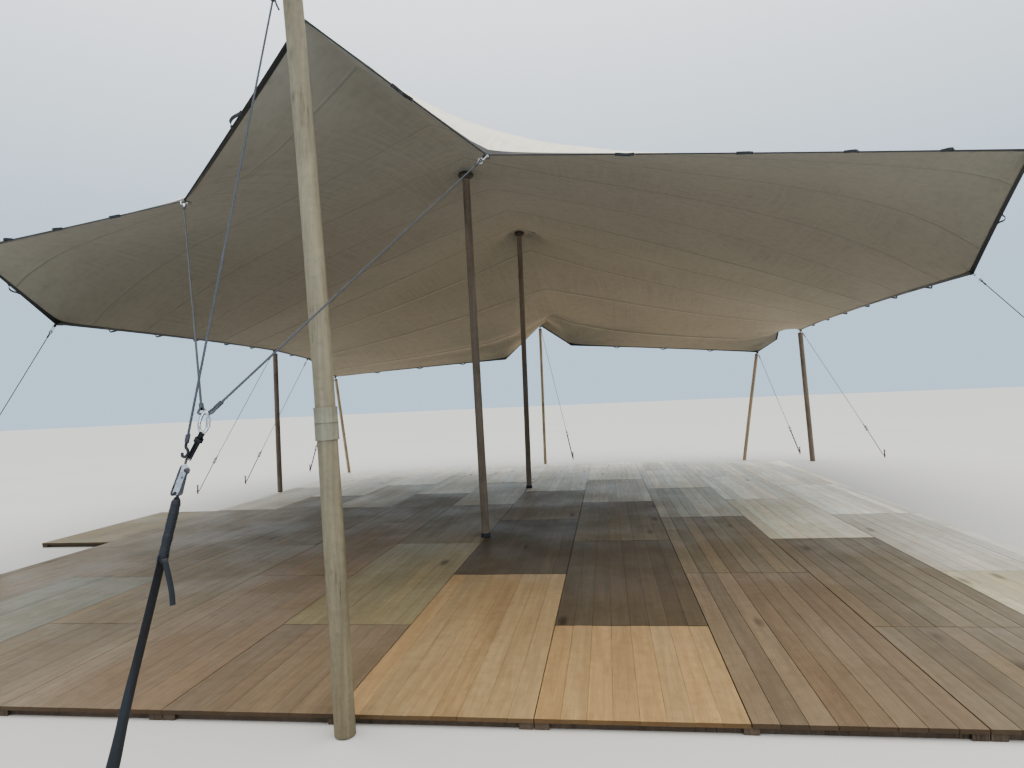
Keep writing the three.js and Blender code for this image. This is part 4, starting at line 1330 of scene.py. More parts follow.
class TENT_OT_hems(bpy.types.Operator):
    """Makes the folded webbing on the four hems, with its stitches and its row of loops"""

    bl_idname = "stretch_tent.hems"
    bl_label = "Hem webbing"

    LAYER = 0.0016
    CLEARANCE = 0.0012
    STITCH_PITCH = 0.012
    STITCH_HALF_LENGTH = 0.0036
    STITCH_WIDTH = 0.0012
    STITCH_ROWS = (0.18, 0.88)
    FROM_CORNER = 0.07
    LOOP_SPACING = 1.05

    def execute(self, context):
        for side in HEMS:
            self.add_webbing(side)
            self.add_stitches(side)
        self.add_loops()
        return {"FINISHED"}

    def add_webbing(self, side):
        """A strap folded over the edge of the cloth, mitred at the corners."""
        sheet, width = cloth(), settings().cloth.webbing_width
        outermost, inside = SIDE_LINES[side]
        out, into, normal = sheet.points[outermost], sheet.points[inside].copy(), sheet.normals[outermost]
        places = sheet.us if side in ("front", "back") else sheet.vs
        into[0], into[-1] = into[1], into[-2]
        keep = [k for k in range(len(out)) if k not in (1, len(out) - 2)]
        near = settings().cloth.thickness / 2 + self.CLEARANCE
        far = near + self.LAYER
        section = [(1.0, near), (0.05, near), (0.05, -near), (1.0, -near), (1.0, -far), (0.04, -far),
                   (-0.03, -0.4 * far), (-0.03, 0.4 * far), (0.04, far), (1.0, far)]
        points = [out[k] + (into[k] - out[k]) * share + normal[k] * lift
                  for k in keep for share, lift in section]
        uvs = [(width * share, places[k]) for k in keep for share, _ in section]
        faces = tube_faces(len(keep), len(section))
        for first in (0, (len(keep) - 1) * len(section)):
            for corners in ((0, 1, 8, 9), (1, 2, 5, 8), (2, 3, 4, 5), (5, 6, 7, 8)):
                faces.append(tuple(first + k for k in corners))
        new_piece(f"hem_webbing_{side}", Shape().add(points, faces, 0, uvs), [hem_webbing()],
                  [f"edge_webbing_{side}"], 35.0)

    def add_stitches(self, side):
        """Two rows of stitches that go right through the webbing."""
        sheet, given = cloth(), settings().cloth
        first, last = HEMS[side][0][0] + self.FROM_CORNER, HEMS[side][-1][0] - self.FROM_CORNER
        step, places, turns = 0.01, [], []
        for row in self.STITCH_ROWS:
            run, inset = first, row * given.webbing_width
            while run < last:
                here, normal = sheet.at(*hem_place(side, run, inset))
                ahead, _ = sheet.at(*hem_place(side, run + step, inset))
                direction = unit(ahead - here)
                places.append(here)
                turns.append(quaternion(direction, np.cross(normal, direction), normal))
                run += self.STITCH_PITCH / max(np.linalg.norm(ahead - here) / step, 0.2)
        half = self.STITCH_HALF_LENGTH
        rise = given.thickness / 2 + self.CLEARANCE + self.LAYER + 0.0006
        shoulder = rise - 0.0008
        outline = [(-half, shoulder), (-0.6 * half, rise), (0.6 * half, rise), (half, shoulder),
                   (half, -shoulder), (0.6 * half, -rise), (-0.6 * half, -rise), (-half, -shoulder)]
        thread = rope_finish("hem_thread", (0.10, 0.10, 0.11))
        mesh = copies(plate(outline, self.STITCH_WIDTH), thread, places, turns)
        dress(mesh, f"hem_stitches_{side}", [thread])

    def add_loops(self):
        """Short webbing loops along the hems, for more guys when the wind gets up."""
        sheet, places, turns = cloth(), [], []
        for side, hem in HEMS.items():
            for (low, start), (high, end) in zip(hem, hem[1:]):
                count = int(np.linalg.norm(np.subtract(end, start)) / self.LOOP_SPACING)
                for k in range(1, count + 1):
                    run = low + (high - low) * k / (count + 1)
                    here, normal = sheet.at(*hem_place(side, run, 0.0))
                    ahead, _ = sheet.at(*hem_place(side, run + 0.02, 0.0))
                    inward, _ = sheet.at(*hem_place(side, run, 0.03))
                    out = unit(np.cross(ahead - here, normal))
                    out = out if out @ (here - inward) > 0 else -out
                    places.append(here)
                    turns.append(quaternion(unit(np.cross(out, normal)), out, normal))
        half = [(0.075, 0.0020, 0.0), (0.058, 0.0020, 0.0), (0.046, 0.014, 0.0), (0.026, 0.034, 0.0)]
        path = [(-x, y, z) for x, y, z in half] + [(0.0, 0.041, 0.0)] + half[::-1]
        loop = sweep(smooth_path(path, 28), flat_section(0.022, 0.0036), side=(0.0, 0.0, 1.0))
        dress(copies(loop, hem_webbing(), places, turns), "hem_loops", [hem_webbing()])


def pole_shape(foot, head, radii, seed, bow=0.004, lean=None):
    """A peeled pole between two points: bowed towards lean, not quite round, with knots."""
    given, chamfer = settings().poles, 0.006
    random = np.random.default_rng(seed)
    length = np.linalg.norm(head - foot)
    steps = np.linspace(0.02, 0.98, max(12, int(length / 0.045)))
    run = np.concatenate([[0.0, chamfer / length], steps, [1 - chamfer / length, 1.0]])
    radius = radii[0] + (radii[1] - radii[0]) * run
    radius[[0, -1]] -= chamfer
    angles = np.arange(given.sides) * 2 * math.pi / given.sides
    skin = np.zeros((len(run), given.sides))
    for waves, turns, strength in ((3, 2, 0.5), (7, 3, 0.3), (17, 5, 0.2), (29, 4, 0.18)):
        phase = random.uniform(0, 2 * math.pi, 2)
        skin += strength * np.sin(2 * math.pi * waves * run[:, None] * length / 4 + phase[0]) \
            * np.cos(turns * angles[None] + phase[1])
    swell = 1 + given.unevenness * (skin - 0.8)
    knots_per_metre, knot_height, knot_width = 3, 0.03, 0.45
    for _ in range(int(knots_per_metre * length)):
        height, turn = random.uniform(0.04, 0.96), random.uniform(0, 2 * math.pi)
        near = np.exp(-((run[:, None] - height) * length / knot_height) ** 2)
        facing = np.exp(-((np.angle(np.exp(1j * (angles[None] - turn)))) / knot_width) ** 2)
        swell += random.uniform(0.02, 0.05) * near * facing
    turn = random.uniform(0, 2 * math.pi)
    lean = turn if lean is None else lean
    sway = bow * np.sin(math.pi * run)
    middle = foot + (head - foot) * run[:, None]
    middle += np.stack([sway * math.cos(lean), sway * math.sin(lean), np.zeros(len(run))], axis=1)
    reach = radius[:, None] * np.minimum(swell, 1.02)
    ring = np.stack([np.cos(angles), np.sin(angles), np.zeros(given.sides)], axis=1)
    points = (middle[:, None] + reach[..., None] * ring).reshape(-1, 3)
    faces = tube_faces(len(run), given.sides) + tube_ends(len(run), given.sides)
    return Shape().add(points, faces)


def pale_wood():
    return pole_finish("pale_pole_wood", tuple(settings().poles.pale), 0.35, 0.35)


def brown_wood():
    return pole_finish("brown_pole_wood", tuple(settings().poles.brown), 0.3, 0.45)


# Painted light: the three back poles take a wood about twice as light as the front pole's, standing for
# sunlight that falls on them.
def painted_sunlit_wood():
    return pole_finish("painted_sunlit_pole_wood", (0.42, 0.33, 0.215), 0.35, 0.2)


def black_rubber():
    return rubber_finish("black_rubber", (0.02, 0.02, 0.022), 0.3)


class TENT_OT_edge_poles(bpy.types.Operator):
    """Makes the seven poles round the edge, each with a steel ferrule and a pin at its head"""

    bl_idname = "stretch_tent.edge_poles"
    bl_label = "Edge poles"

    TAPER = 0.94
    FIRST_SEED = 20

    def execute(self, context):
        for number, (name, colour) in enumerate(EDGE_POLES.items()):
            foot, head, radius = post_of(name)
            share = 1 - POLE_PIN_LENGTH / (head[2] - foot[2])
            shoulder = foot + (head - foot) * share
            head_radius = radius * self.TAPER
            shaft = pole_shape(foot, shoulder, (radius, head_radius), self.FIRST_SEED + number)
            # Poles listed as pale_wood take the lighter wood with painted sunlight.
            finish = painted_sunlit_wood() if colour == "pale_wood" else brown_wood()
            new_piece(f"{name}_wood", shaft, [finish], [name])
            self.add_head(name, shoulder, head, head_radius)
        return {"FINISHED"}

    @staticmethod
    def add_head(name, shoulder, head, radius):
        """A steel band round the top, a washer on it and the pin that the hem sits on."""
        r, band = radius * 1.03, 0.03
        length = np.linalg.norm(head - shoulder)
        profile = [(0.0, 0.0), (r - 0.004, 0.0), (r - 0.004, -band), (r, -band), (r, 0.002), (0.030, 0.004),
                   (0.028, 0.008), (0.011, 0.009), (0.011, length - 0.004), (0.008, length), (0.0, length)]
        fitting = turned(profile, 24).moved(along(shoulder, head))
        new_piece(f"{name}_head", fitting, [stake_steel()], crease=30.0)


class TENT_OT_ridge_poles(bpy.types.Operator):
    """Makes the two poles inside the tent, with rubber feet and padded caps"""

    bl_idname = "stretch_tent.ridge_poles"
    bl_label = "Ridge poles"

    FOOT_TAPER, TOP_RADIUS = 0.97, 0.041
    FIRST_SEED = 40
    SOLE, SHOE_HEIGHT = 0.004, 0.045
    PLEATS, PLEAT_DEPTH = 18, 0.0016
    PLEAT_HEIGHT, PLEAT_SPREAD = 0.014, 0.010

    def execute(self, context):
        for number, name in enumerate(HEADS):
            foot, head, radius = post_of(name)
            shaft = pole_shape(foot + np.array([0, 0, self.SOLE]), head,
                               (radius * self.FOOT_TAPER, self.TOP_RADIUS), self.FIRST_SEED + number)
            new_piece(f"{name}_wood", shaft, [brown_wood()], [name])
            self.add_shoe(name, foot, head, radius)
            self.add_cap(name)
        return {"FINISHED"}

    def add_shoe(self, name, foot, head, radius):
        """A rubber shoe over the foot of the pole."""
        r, top = radius + 0.004, self.SHOE_HEIGHT
        profile = [(0.0, 0.0), (r - 0.002, 0.0), (r + 0.002, 0.003), (r, 0.012), (r, top - 0.004),
                   (r - 0.002, top), (r - 0.005, top + 0.001), (0.0, top + 0.001)]
        shoe = turned(profile, 28).moved(along(foot, head))
        new_piece(f"{name}_shoe", shoe, [black_rubber()], crease=35.0)

    def add_cap(self, name):
        """A padded cap that bears on the cloth: a stuffed, pleated crown over a turned seat."""
        low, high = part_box(f"{name}_cap")
        centre = Vector(((low.x + high.x) / 2, (low.y + high.y) / 2, low.z))
        profile = [(0.0, 0.0), (0.048, 0.0), (0.056, 0.002), (0.066, 0.010), (0.078, 0.017), (0.0835, 0.027),
                   (0.084, 0.036), (0.082, 0.046), (0.077, 0.055), (0.068, 0.062), (0.056, 0.0665),
                   (0.040, 0.069), (0.020, 0.0698), (0.0, high.z - low.z)]
        crown = turned(profile, 36)
        crown.points = [self.pleated(*point) for point in crown.points]
        crown.moved(Matrix.Translation(centre))
        finish = rubber_finish("cap_cloth", (0.055, 0.046, 0.036), 0.2)
        pad = new_piece(f"{name}_cap_pad", crown, [finish], [f"{name}_cap"])
        rope_piece(f"{name}_cap_tie", wrap(centre, Vector((0, 0, 1)), 0.004, 0.012, 0.060, 0.002))

    def pleated(self, x, y, z):
        """A point of the cap, drawn in where it lies in a pleat above the tie."""
        reach, angle = math.hypot(x, y), math.atan2(y, x)
        near = math.exp(-((z - self.PLEAT_HEIGHT) / self.PLEAT_SPREAD) ** 2)
        depth = self.PLEAT_DEPTH * math.sin(self.PLEATS * angle) * near
        share = (reach - depth) / reach if reach > 0.001 else 1.0
        return x * share, y * share, z


class TENT_OT_front_pole(bpy.types.Operator):
    """Makes the tall pole at the front, its joint sleeve and the lashings at its head"""

    bl_idname = "stretch_tent.front_pole"
    bl_label = "Front pole"

    SEED = 7
    HEAD_RADIUS = 0.047
    SLEEVE_FROM, SLEEVE_TO = 1.407, 1.565
    ROPE_RADIUS = 0.0045
    BOW, BOW_SIDE = 0.019, 0.139
    KNOT_DOWN = 0.115

    def execute(self, context):
        foot, head, radius = post_of("front_pole")
        shaft = pole_shape(foot, head, (radius, self.HEAD_RADIUS), self.SEED, self.BOW, self.BOW_SIDE)
        new_piece("front_pole_wood", shaft, [pale_wood()], ["front_pole"])
        self.add_sleeve(foot, head, radius)
        self.add_head_lashing(foot, head)
        self.add_corner_lashing()
        return {"FINISHED"}

    def middle_at(self, foot, head, height):
        """The middle of the bowed pole at a height above its foot."""
        share = height / (head[2] - foot[2])
        sway = self.BOW * math.sin(math.pi * share)
        side = np.array([math.cos(self.BOW_SIDE), math.sin(self.BOW_SIDE), 0.0])
        return foot + (head - foot) * share + side * sway

    def add_sleeve(self, foot, head, radius):
        """A sleeve over the joint of the two lengths: two bands with a ring between them."""
        low, high = (self.middle_at(foot, head, z) for z in (self.SLEEVE_FROM, self.SLEEVE_TO))
        length = self.SLEEVE_TO - self.SLEEVE_FROM
        r, seam = radius + 0.004, 0.52 * length
        profile = [(0.0, 0.0), (r - 0.004, 0.0), (r, 0.001), (r + 0.0015, 0.003), (r + 0.001, 0.007),
                   (r, 0.010), (r, seam - 0.004), (r + 0.0012, seam - 0.002), (r - 0.0014, seam),
                   (r + 0.0010, seam + 0.002), (r - 0.0004, seam + 0.005), (r - 0.0006, length - 0.010),
                   (r + 0.0012, length - 0.006), (r + 0.0008, length - 0.001), (r - 0.004, length),
                   (0.0, length)]
        sleeve = turned(profile, 40).moved(along(low, high))
        finish = pole_finish("sleeve_grey", (0.205, 0.188, 0.135), 0.5, 0.5)
        new_piece("front_pole_sleeve", sleeve, [finish], crease=30.0)

    def add_head_lashing(self, foot, head):
        """Rope turns round the head, the knots of the rope that hangs from it and a loose tail."""
        low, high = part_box("front_pole_collar")
        centre = self.middle_at(foot, head, (low.z + high.z) / 2)
        wire = self.ROPE_RADIUS
        turns = wrap(centre, unit(head - foot), -0.020, 0.020, self.HEAD_RADIUS + wire, wire)
        rope_top, _, down, _ = rope_line("front_rope_pole")
        knot = rope_top + down * self.KNOT_DOWN
        turns.join(wrap(rope_top, down, -0.004, 0.020, 0.0075, wire))
        turns.join(wrap(knot, down, -0.014, 0.014, 0.0085, wire))
        tail = knot + np.array([(0, 0, 0.012), (0.010, -0.010, 0.008), (0.014, -0.012, -0.012),
                                (0.022, -0.014, -0.040), (0.034, -0.014, -0.068)])
        turns.join(sweep(smooth_path(tail, 20), round_section(wire, 8)))
        rope_piece("front_pole_lashing", turns, ["front_pole_collar"])

    def add_corner_lashing(self):
        """Three runs of rope from the head to the cloth's front corner, bound round their middle."""
        start, end = line_of("front_corner_tie")
        way, wire = end - start, self.ROPE_RADIUS
        side = unit(np.cross(way, (0, 0, 1)))
        tie = Shape()
        for offset in (-1.0, 0.0, 1.0):
            tie.join(bar(start + side * offset * 0.9 * wire, end + side * offset * 1.1 * wire,
                         wire * 0.95, 10))
        tie.join(wrap(start, way, 0.35, 0.6, 0.011, 0.003))
        rope_piece("front_corner_lashing", tie, ["front_corner_tie"])


def smooth_path(points, steps):
    """A smooth curve through the points, by Catmull and Rom's rule."""
    p = np.asarray(points, float)
    p = np.vstack([2 * p[0] - p[1], p, 2 * p[-1] - p[-2]])
    out = []
    spans = len(p) - 3
    for k in range(steps + 1):
        t = min(k / steps * spans, spans - 1e-9)
        i = int(t)
        s = t - i
        a, b, c, d = p[i:i + 4]
        out.append(0.5 * (2 * b + (c - a) * s + (2 * a - 5 * b + 4 * c - d) * s ** 2
                          + (3 * b - a - 3 * c + d) * s ** 3))
    return np.array(out)


def bar(start, end, radius, sides):
    """A straight round or many-sided bar."""
    return sweep([start, end], round_section(radius, sides))


def teardrop(half, steps):
    """The round part of an eye of a given half width, from its neck round and back to it."""
    return [(half * math.sin(a), 0, half - half * math.cos(a)) for a in np.linspace(-1.9, 1.9, steps)]


def shackle_shape(start, direction, length, width, wire, side):
    """A steel bow with a screw pin at start, its round end towards direction."""
    half = width / 2
    legs = length - half
    leg = [(half * 0.86, 0, -0.006), (half * 0.9, 0, 0.0), (half, 0, 0.5 * legs), (half, 0, legs)]
    path = [(-x, y, z) for x, y, z in leg]
    for k in range(1, 8):
        path.append((-half * math.cos(math.pi * k / 8), 0, legs + half * math.sin(math.pi * k / 8)))
    shape = sweep(path + leg[::-1], round_section(wire, 10), side=(0, 1, 0))
    shape.join(bar((-half - 0.006, 0, 0), (half + 0.004, 0, 0), wire * 0.9, 10))
    shape.join(bar((-half - 0.010, 0, 0), (-half - 0.004, 0, 0), wire * 1.9, 6))
    shape.join(bar((half + 0.001, 0, 0), (half + 0.006, 0, 0), wire * 1.7, 6))
    return stood(shape, start, direction, side)


def thimble_shape(start, direction, length, width, side):
    """A heart shaped steel channel that the rope's eye lies in. Its round end is at start."""
    path = [(-0.002, 0, length), *teardrop(width / 2, 17), (0.002, 0, length)]
    section = [(-0.0062, 0.0035), (-0.0048, -0.001), (0.0048, -0.001), (0.0062, 0.0035), (0.0050, 0.0035),
               (0.0040, 0.0006), (-0.0040, 0.0006), (-0.0050, 0.0035)]
    return stood(sweep(smooth_path(path, 40), section, side=(0, 1, 0)), start, direction, side)


def eye_shape(start, direction, length, width, wire, side):
    """A rope's spliced eye: round at start, closing to the rope at its other end."""
    neck, tail = wire * 0.6, wire * 0.55
    path = [(-tail, 0, length + 0.02), (-neck, 0, length), *teardrop(width / 2, 15), (neck, 0, length),
            (tail, 0, length + 0.02)]
    shape = sweep(smooth_path(path, 48), round_section(wire, 10), side=(0, 1, 0))
    return stood(shape, start, direction, side)


def tab_shape(start, direction, inward):
    """A webbing tab: sewn over the hem above and below, and folded round the shackle's pin."""
    width, reach, sewn = 0.028, 0.028, 0.075
    start, inward, direction = np.asarray(start, float), unit(inward), unit(direction)
    up = unit(np.cross(np.cross(inward, (0, 0, 1)), inward))
    up = up if up[2] > 0 else -up
    side = unit(np.cross(direction, up))
    over = unit(np.cross(side, direction))
    over = over if over @ up > 0 else -over
    tip = start + direction * reach
    path = []
    for face in (1, -1):
        half = [start + inward * sewn + face * up * 0.0062, start + inward * 0.03 + face * up * 0.0064,
                start + face * up * 0.0066, start + direction * 0.014 + face * over * 0.0058,
                tip - direction * 0.004 + face * over * 0.0052]
        path += half + [tip + direction * 0.0025] if face > 0 else half[::-1]
    return sweep(smooth_path(path, 44), flat_section(width, 0.0022), side=side)


def ratchet_shape():
    """A ratchet along Z from 0 to 0.15. Plates and spool are finish 0, grip and strap 1, handle 2."""
    shape = Shape()
    plate_turn = Matrix.Rotation(math.pi / 2, 4, "Z")
    lean = Matrix.Rotation(math.radians(-6), 4, "X")
    spool_y, spool_z = 0.004, 0.098
    teeth = [(reach * math.cos(math.pi * k / 12), reach * math.sin(math.pi * k / 12))
             for k in range(24) for reach in [0.0165 if k % 2 else 0.0135]]
    for x in (-0.0175, 0.0175):
        shape.join(plate(slot_outline(0.112, 0.024), 0.0024).moved(
            Matrix.Translation((x, 0.0, 0.060)) @ plate_turn))
        shape.join(plate(teeth, 0.0024).moved(
            Matrix.Translation((x * 0.83, spool_y, spool_z)) @ plate_turn))
        shape.join(plate(slot_outline(0.118, 0.020), 0.0022, 2).moved(
            Matrix.Translation((x * 1.13, -0.008, 0.062)) @ lean @ plate_turn))
    for y, z, radius in ((spool_y, spool_z, 0.0085), (0.0, 0.012, 0.0045), (-0.004, 0.070, 0.0035)):
        shape.join(bar((-0.021, y, z), (0.021, y, z), radius, 14))
    for x in (-0.0215, 0.0215):
        for y, z, radius in ((spool_y, spool_z, 0.0062), (0.0, 0.012, 0.0058)):
            shape.join(bar((x, y, z), (x * 1.14, y, z), radius, 6))
    grip = np.linspace((-0.021, -0.0150, 0.010), (0.021, -0.0150, 0.010), 15)
    shape.join(sweep(grip, round_section(0.0075, 12), scale=[1.0 if k % 2 else 0.86 for k in range(15)],
                     finish=1))
    shape.join(sweep([(-0.0165, -0.012, 0.045), (0.0165, -0.012, 0.045)], flat_section(0.014, 0.003)))
    winding = []
    for turn in np.linspace(0, 3.2, 60):
        reach, angle = 0.0105 + 0.0013 * turn, 2 * math.pi * turn + 1.2
        winding.append((0.0, spool_y + reach * math.sin(angle), spool_z + reach * math.cos(angle)))
    shape.join(sweep(winding, flat_section(0.025, 0.0012), side=(1, 0, 0), finish=1))
    shape.join(bar((0.0, 0.0, 0.012), (0.0, 0.0, 0.002), 0.004, 8))
    return shape


# How far down a rope from its point on the hem these begin.
SHACKLE_AT, THIMBLE_AT, EYE_AT, ROPE_AT = 0.024, 0.083, 0.088, 0.165


def eyed_rope(top, end, direction, side, low_eye, whipping):
    """A rope from under a hem's shackle to end, with a spliced and whipped eye at both ends."""
    wire = settings().ropes.diameter / 2
    reach, *size = low_eye  # how far past the end, length and width
    start = top + direction * ROPE_AT
    rope = laid_rope(start, end)
    rope.join(eye_shape(top + direction * EYE_AT, direction, 0.055, 0.030, wire * 0.9, side))
    rope.join(wrap(start, direction, -0.022, whipping[0], wire * 1.35, 0.0022))
    rope.join(eye_shape(end + direction * reach, -direction, *size, wire * 0.9, side))
    rope.join(wrap(end, direction, -whipping[1], 0.020, wire * 1.35, 0.0022))
    return rope


def stake_loop(node, foot, width, thickness):
    """A strap's loop round its stake, with the stake's middle and the ways out and across from it."""
    centre = box_middle(node, foot[2])
    out = unit((foot - centre) * np.array([1, 1, 0]))
    across = unit(np.cross(out, (0, 0, 1)))
    ring = [centre + STAKE_LOOP_RADIUS * (out * math.cos(a) + across * math.sin(a))
            for a in np.linspace(0, 2 * math.pi, 25)[:-1]]
    w, t = width / 2, thickness / 2
    loop = sweep(ring, [(-t, -w), (t, -w), (t, w), (-t, w)], side=out, closed=True)
    return loop, centre, out, across


STAKE_LOOP_RADIUS = 0.0165


class TENT_OT_guys(bpy.types.Operator):
    """Makes every guy: tab, shackle, thimble, rope, ratchet, strap and stake"""

    bl_idname = "stretch_tent.guys"
    bl_label = "Guys"

    STRAP_LENGTH = 0.62
    RATCHET_LENGTH = 0.13
    ROPE_ABOVE_RATCHET = 0.045
    TENT_MIDDLE = (0.2, 0.6)

    def execute(self, context):
        for name in GUYS:
            self.add_guy(name)
            add_stake(f"{name}_stake")
        return {"FINISHED"}

    def add_guy(self, name):
        """One guy from its point on the hem down to its stake."""
        top, foot, direction, side = rope_line(f"{name}_guy")
        inward = unit(np.array([*self.TENT_MIDDLE, top[2]]) - top)
        hem_end(f"{name}_guy", top, direction, inward, side)
        rope_end = foot - direction * (self.STRAP_LENGTH + self.RATCHET_LENGTH + self.ROPE_ABOVE_RATCHET)
        rope = eyed_rope(top, rope_end, direction, side, (0.052, 0.045, 0.024), (0.012, 0.012))
        rope_piece(f"{name}_guy_rope", rope, [f"{name}_guy"])
        ratchet_foot = foot - direction * self.STRAP_LENGTH
        upper = ratchet_foot - direction * self.RATCHET_LENGTH
        new_piece(f"{name}_guy_ratchet", ratchet_shape().moved(along(upper, ratchet_foot, side)),
                  [bright_steel(), black_strap(), bright_steel()], crease=30.0)
        self.add_strap(name, ratchet_foot - direction * 0.030, foot, side)

    @staticmethod
    def add_strap(name, top, foot, side):
        """The flat strap from the ratchet down and round the stake."""
        loop, centre, out, across = stake_loop(f"{name}_stake", foot, 0.025, 0.0022)
        end = centre + out * 0.032 + [0, 0, 0.004]
        run = smooth_path([top, top + (centre + out * 0.03 - top) * 0.5, end], 16)
        strap = sweep(run, flat_section(0.025, 0.0026), side=side).join(loop)
        strap.join(sweep([centre + out * 0.015, centre + out * 0.036 + [0, 0, 0.004]],
                         flat_section(0.025, 0.006), side=across))
        strap_piece(f"{name}_guy_strap", strap)


def hem_end(name, top, direction, inward, side):
    """What joins a rope to the hem: the webbing tab, a shackle and the rope's thimble."""
    tab = tab_shape(top, direction, inward)
    new_piece(f"{name}_tab", tab, [hem_webbing()])
    steel = shackle_shape(top + direction * SHACKLE_AT, direction, 0.066, 0.032, 0.0040, side)
    across = np.cross(direction, side)
    steel.join(thimble_shape(top + direction * THIMBLE_AT, direction, 0.052, 0.028, across))
    new_piece(f"{name}_shackle", steel, [bright_steel()], crease=50.0)


def add_stake(node):
    """A forged steel stake with a hammered head, standing where the CAD node does."""
    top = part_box(node)[1].z
    profile = [(0.0, 0.0), (0.013, 0.0), (0.013, top - 0.020), (0.0145, top - 0.016), (0.0215, top - 0.012),
               (0.0235, top - 0.008), (0.0235, top - 0.004), (0.0205, top - 0.0008), (0.011, top - 0.0002),
               (0.0, top)]
    stake = turned(profile, 24).moved(Matrix.Translation(box_middle(node, 0.0)))
    new_piece(f"{node}_steel", stake, [stake_steel()], [node], crease=35.0)


class TENT_OT_front_tether(bpy.types.Operator):
    """Makes the front ropes, the carabiner, ratchet, wound strap end, strap and stake"""

    bl_idname = "stretch_tent.front_tether"
    bl_label = "Front tether"

    FACING = (0.70, -0.71, 0.0)
    FLAT_WAY = (0.8, 0.59, 0.0)
    RATCHET_TO_STRAP = 0.365
    STRAP_WIDTH = 0.046

    def execute(self, context):
        self.add_ropes()
        self.add_carabiner()
        self.add_upper_strap()
        self.add_ratchet()
        self.add_sleeve()
        self.add_strap()
        add_stake("front_stake")
        return {"FINISHED"}

    @staticmethod
    def add_ropes():
        """The two ropes from the hem to the carabiner, and the pole's rope with its hook."""
        wire = settings().ropes.diameter / 2
        for node in ("front_rope_left", "front_rope_right"):
            top, foot, direction, side = rope_line(node)
            hem_end(node, top, direction, np.array([0, 1.0, 0.1]), side)
            rope = eyed_rope(top, foot - direction * 0.050, direction, side, (0.056, 0.050, 0.026),
                             (0.014, 0.016))
            rope_piece(f"{node}_line", rope, [node])
        top, foot, direction, _ = rope_line("front_rope_pole")
        hook_start = foot - direction * 0.060
        rope = laid_rope(top, hook_start)
        rope.join(wrap(top, direction, 0.0, 0.030, wire * 1.3, 0.0028))
        rope.join(wrap(foot, direction, -0.085, -0.055, wire * 1.35, 0.0024))
        rope_piece("front_rope_pole_line", rope, ["front_rope_pole"])
        new_piece("front_rope_pole_hook", hook_shape(hook_start, direction), [black_rubber()],
                  crease=50.0)

    @staticmethod
    def add_carabiner():
        """A pear shaped steel link with its screw gate."""
        low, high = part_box("front_carabiner")
        lean, length, width, wire, steps = 0.22, 0.090, 0.054, 0.0060, 36
        side_reach, end_reach = width / 2 - wire, length / 2 - wire
        path = []
        for k in range(steps):
            a = 2 * math.pi * k / steps
            pear = 1 - 0.32 * (0.5 + 0.5 * math.sin(a))
            path.append((side_reach * pear * math.cos(a), 0.0, end_reach * math.sin(a)))
        ring = sweep(path, round_section(wire, 12), side=(0, 1, 0), closed=True)
        ring.join(bar((side_reach - 0.0012, 0, -0.016), (side_reach - 0.0065, 0, 0.018), wire * 1.4, 12))
        matrix = Matrix.Translation((low + high) / 2) @ Matrix.Rotation(lean, 4, "Y")
        new_piece("front_carabiner_steel", ring.moved(matrix), [bright_steel()],
                  ["front_carabiner"], 45.0)

    @staticmethod
    def add_upper_strap():
        """The short strap from the carabiner to the ratchet: three layers, tied round at the top."""
        top, foot = line_of("front_strap_upper")
        direction = unit(foot - top)
        side = unit(np.cross(direction, (0, 1, 0)))
        band = Shape()
        for offset in (-0.0035, 0.0, 0.0035):
            start = top + side * offset - direction * 0.006
            end = foot + side * offset * 2 + direction * 0.012
            band.join(sweep(np.linspace(start, end, 8), flat_section(0.022, 0.0024),
                            side=(0.25, 0.95, 0.1), twist=np.linspace(0, 0.5 + 20 * offset, 8)))
        band.join(wrap(top, direction, 0.020, 0.036, 0.013, 0.003))
        strap_piece("front_strap_upper_webbing", band, ["front_strap_upper"])

    def add_ratchet(self):
        """The front ratchet, and the bar that the pole's rope hooks to."""
        top, up = tether_frame()
        ratchet = ratchet_shape().join(bar((0, 0, 0.116), (0, 0, 0.150), 0.0045, 8))
        ratchet.moved(along(top - up * 0.150, top, self.FACING))
        # Painted reflection: the ratchet's plated steel is given a near black colour, standing for dark
        # surroundings mirrored in it; its handle arms stay bright steel.
        finish = steel_finish("ratchet_steel", (0.10, 0.102, 0.102), 0.25, 0.25)
        new_piece("front_ratchet_steel", ratchet, [finish, black_strap(), bright_steel()],
                  ["front_ratchet"], 30.0)

    def add_sleeve(self):
        """The strap's spare end wound round it, tied at the foot, with a hanging tail."""
        top, foot = line_of("front_strap_sleeve")
        direction = unit(foot - top)
        wound = self.winding(np.linalg.norm(foot - top)).moved(along(top, foot))
        wound.join(wrap(foot, direction, -0.034, -0.010, 0.0165, 0.003))
        neck = np.linspace(top + direction * 0.030, top - direction * 0.020, 6)
        wound.join(sweep(neck, flat_section(0.026, 0.0060), side=self.FACING))
        start = foot - direction * 0.018 + np.array([0.014, -0.008, 0.0])
        tail = start + np.array([(-0.004, 0.0, 0.008), (0.004, -0.004, 0.0), (0.010, -0.006, -0.020),
                                 (0.020, -0.006, -0.065), (0.027, -0.004, -0.115), (0.028, -0.002, -0.160)])
        wound.join(sweep(smooth_path(tail, 24), flat_section(0.019, 0.0022), side=self.FLAT_WAY))
        strap_piece("front_strap_sleeve_winding", wound,
                  ["front_strap_sleeve"], 55.0)

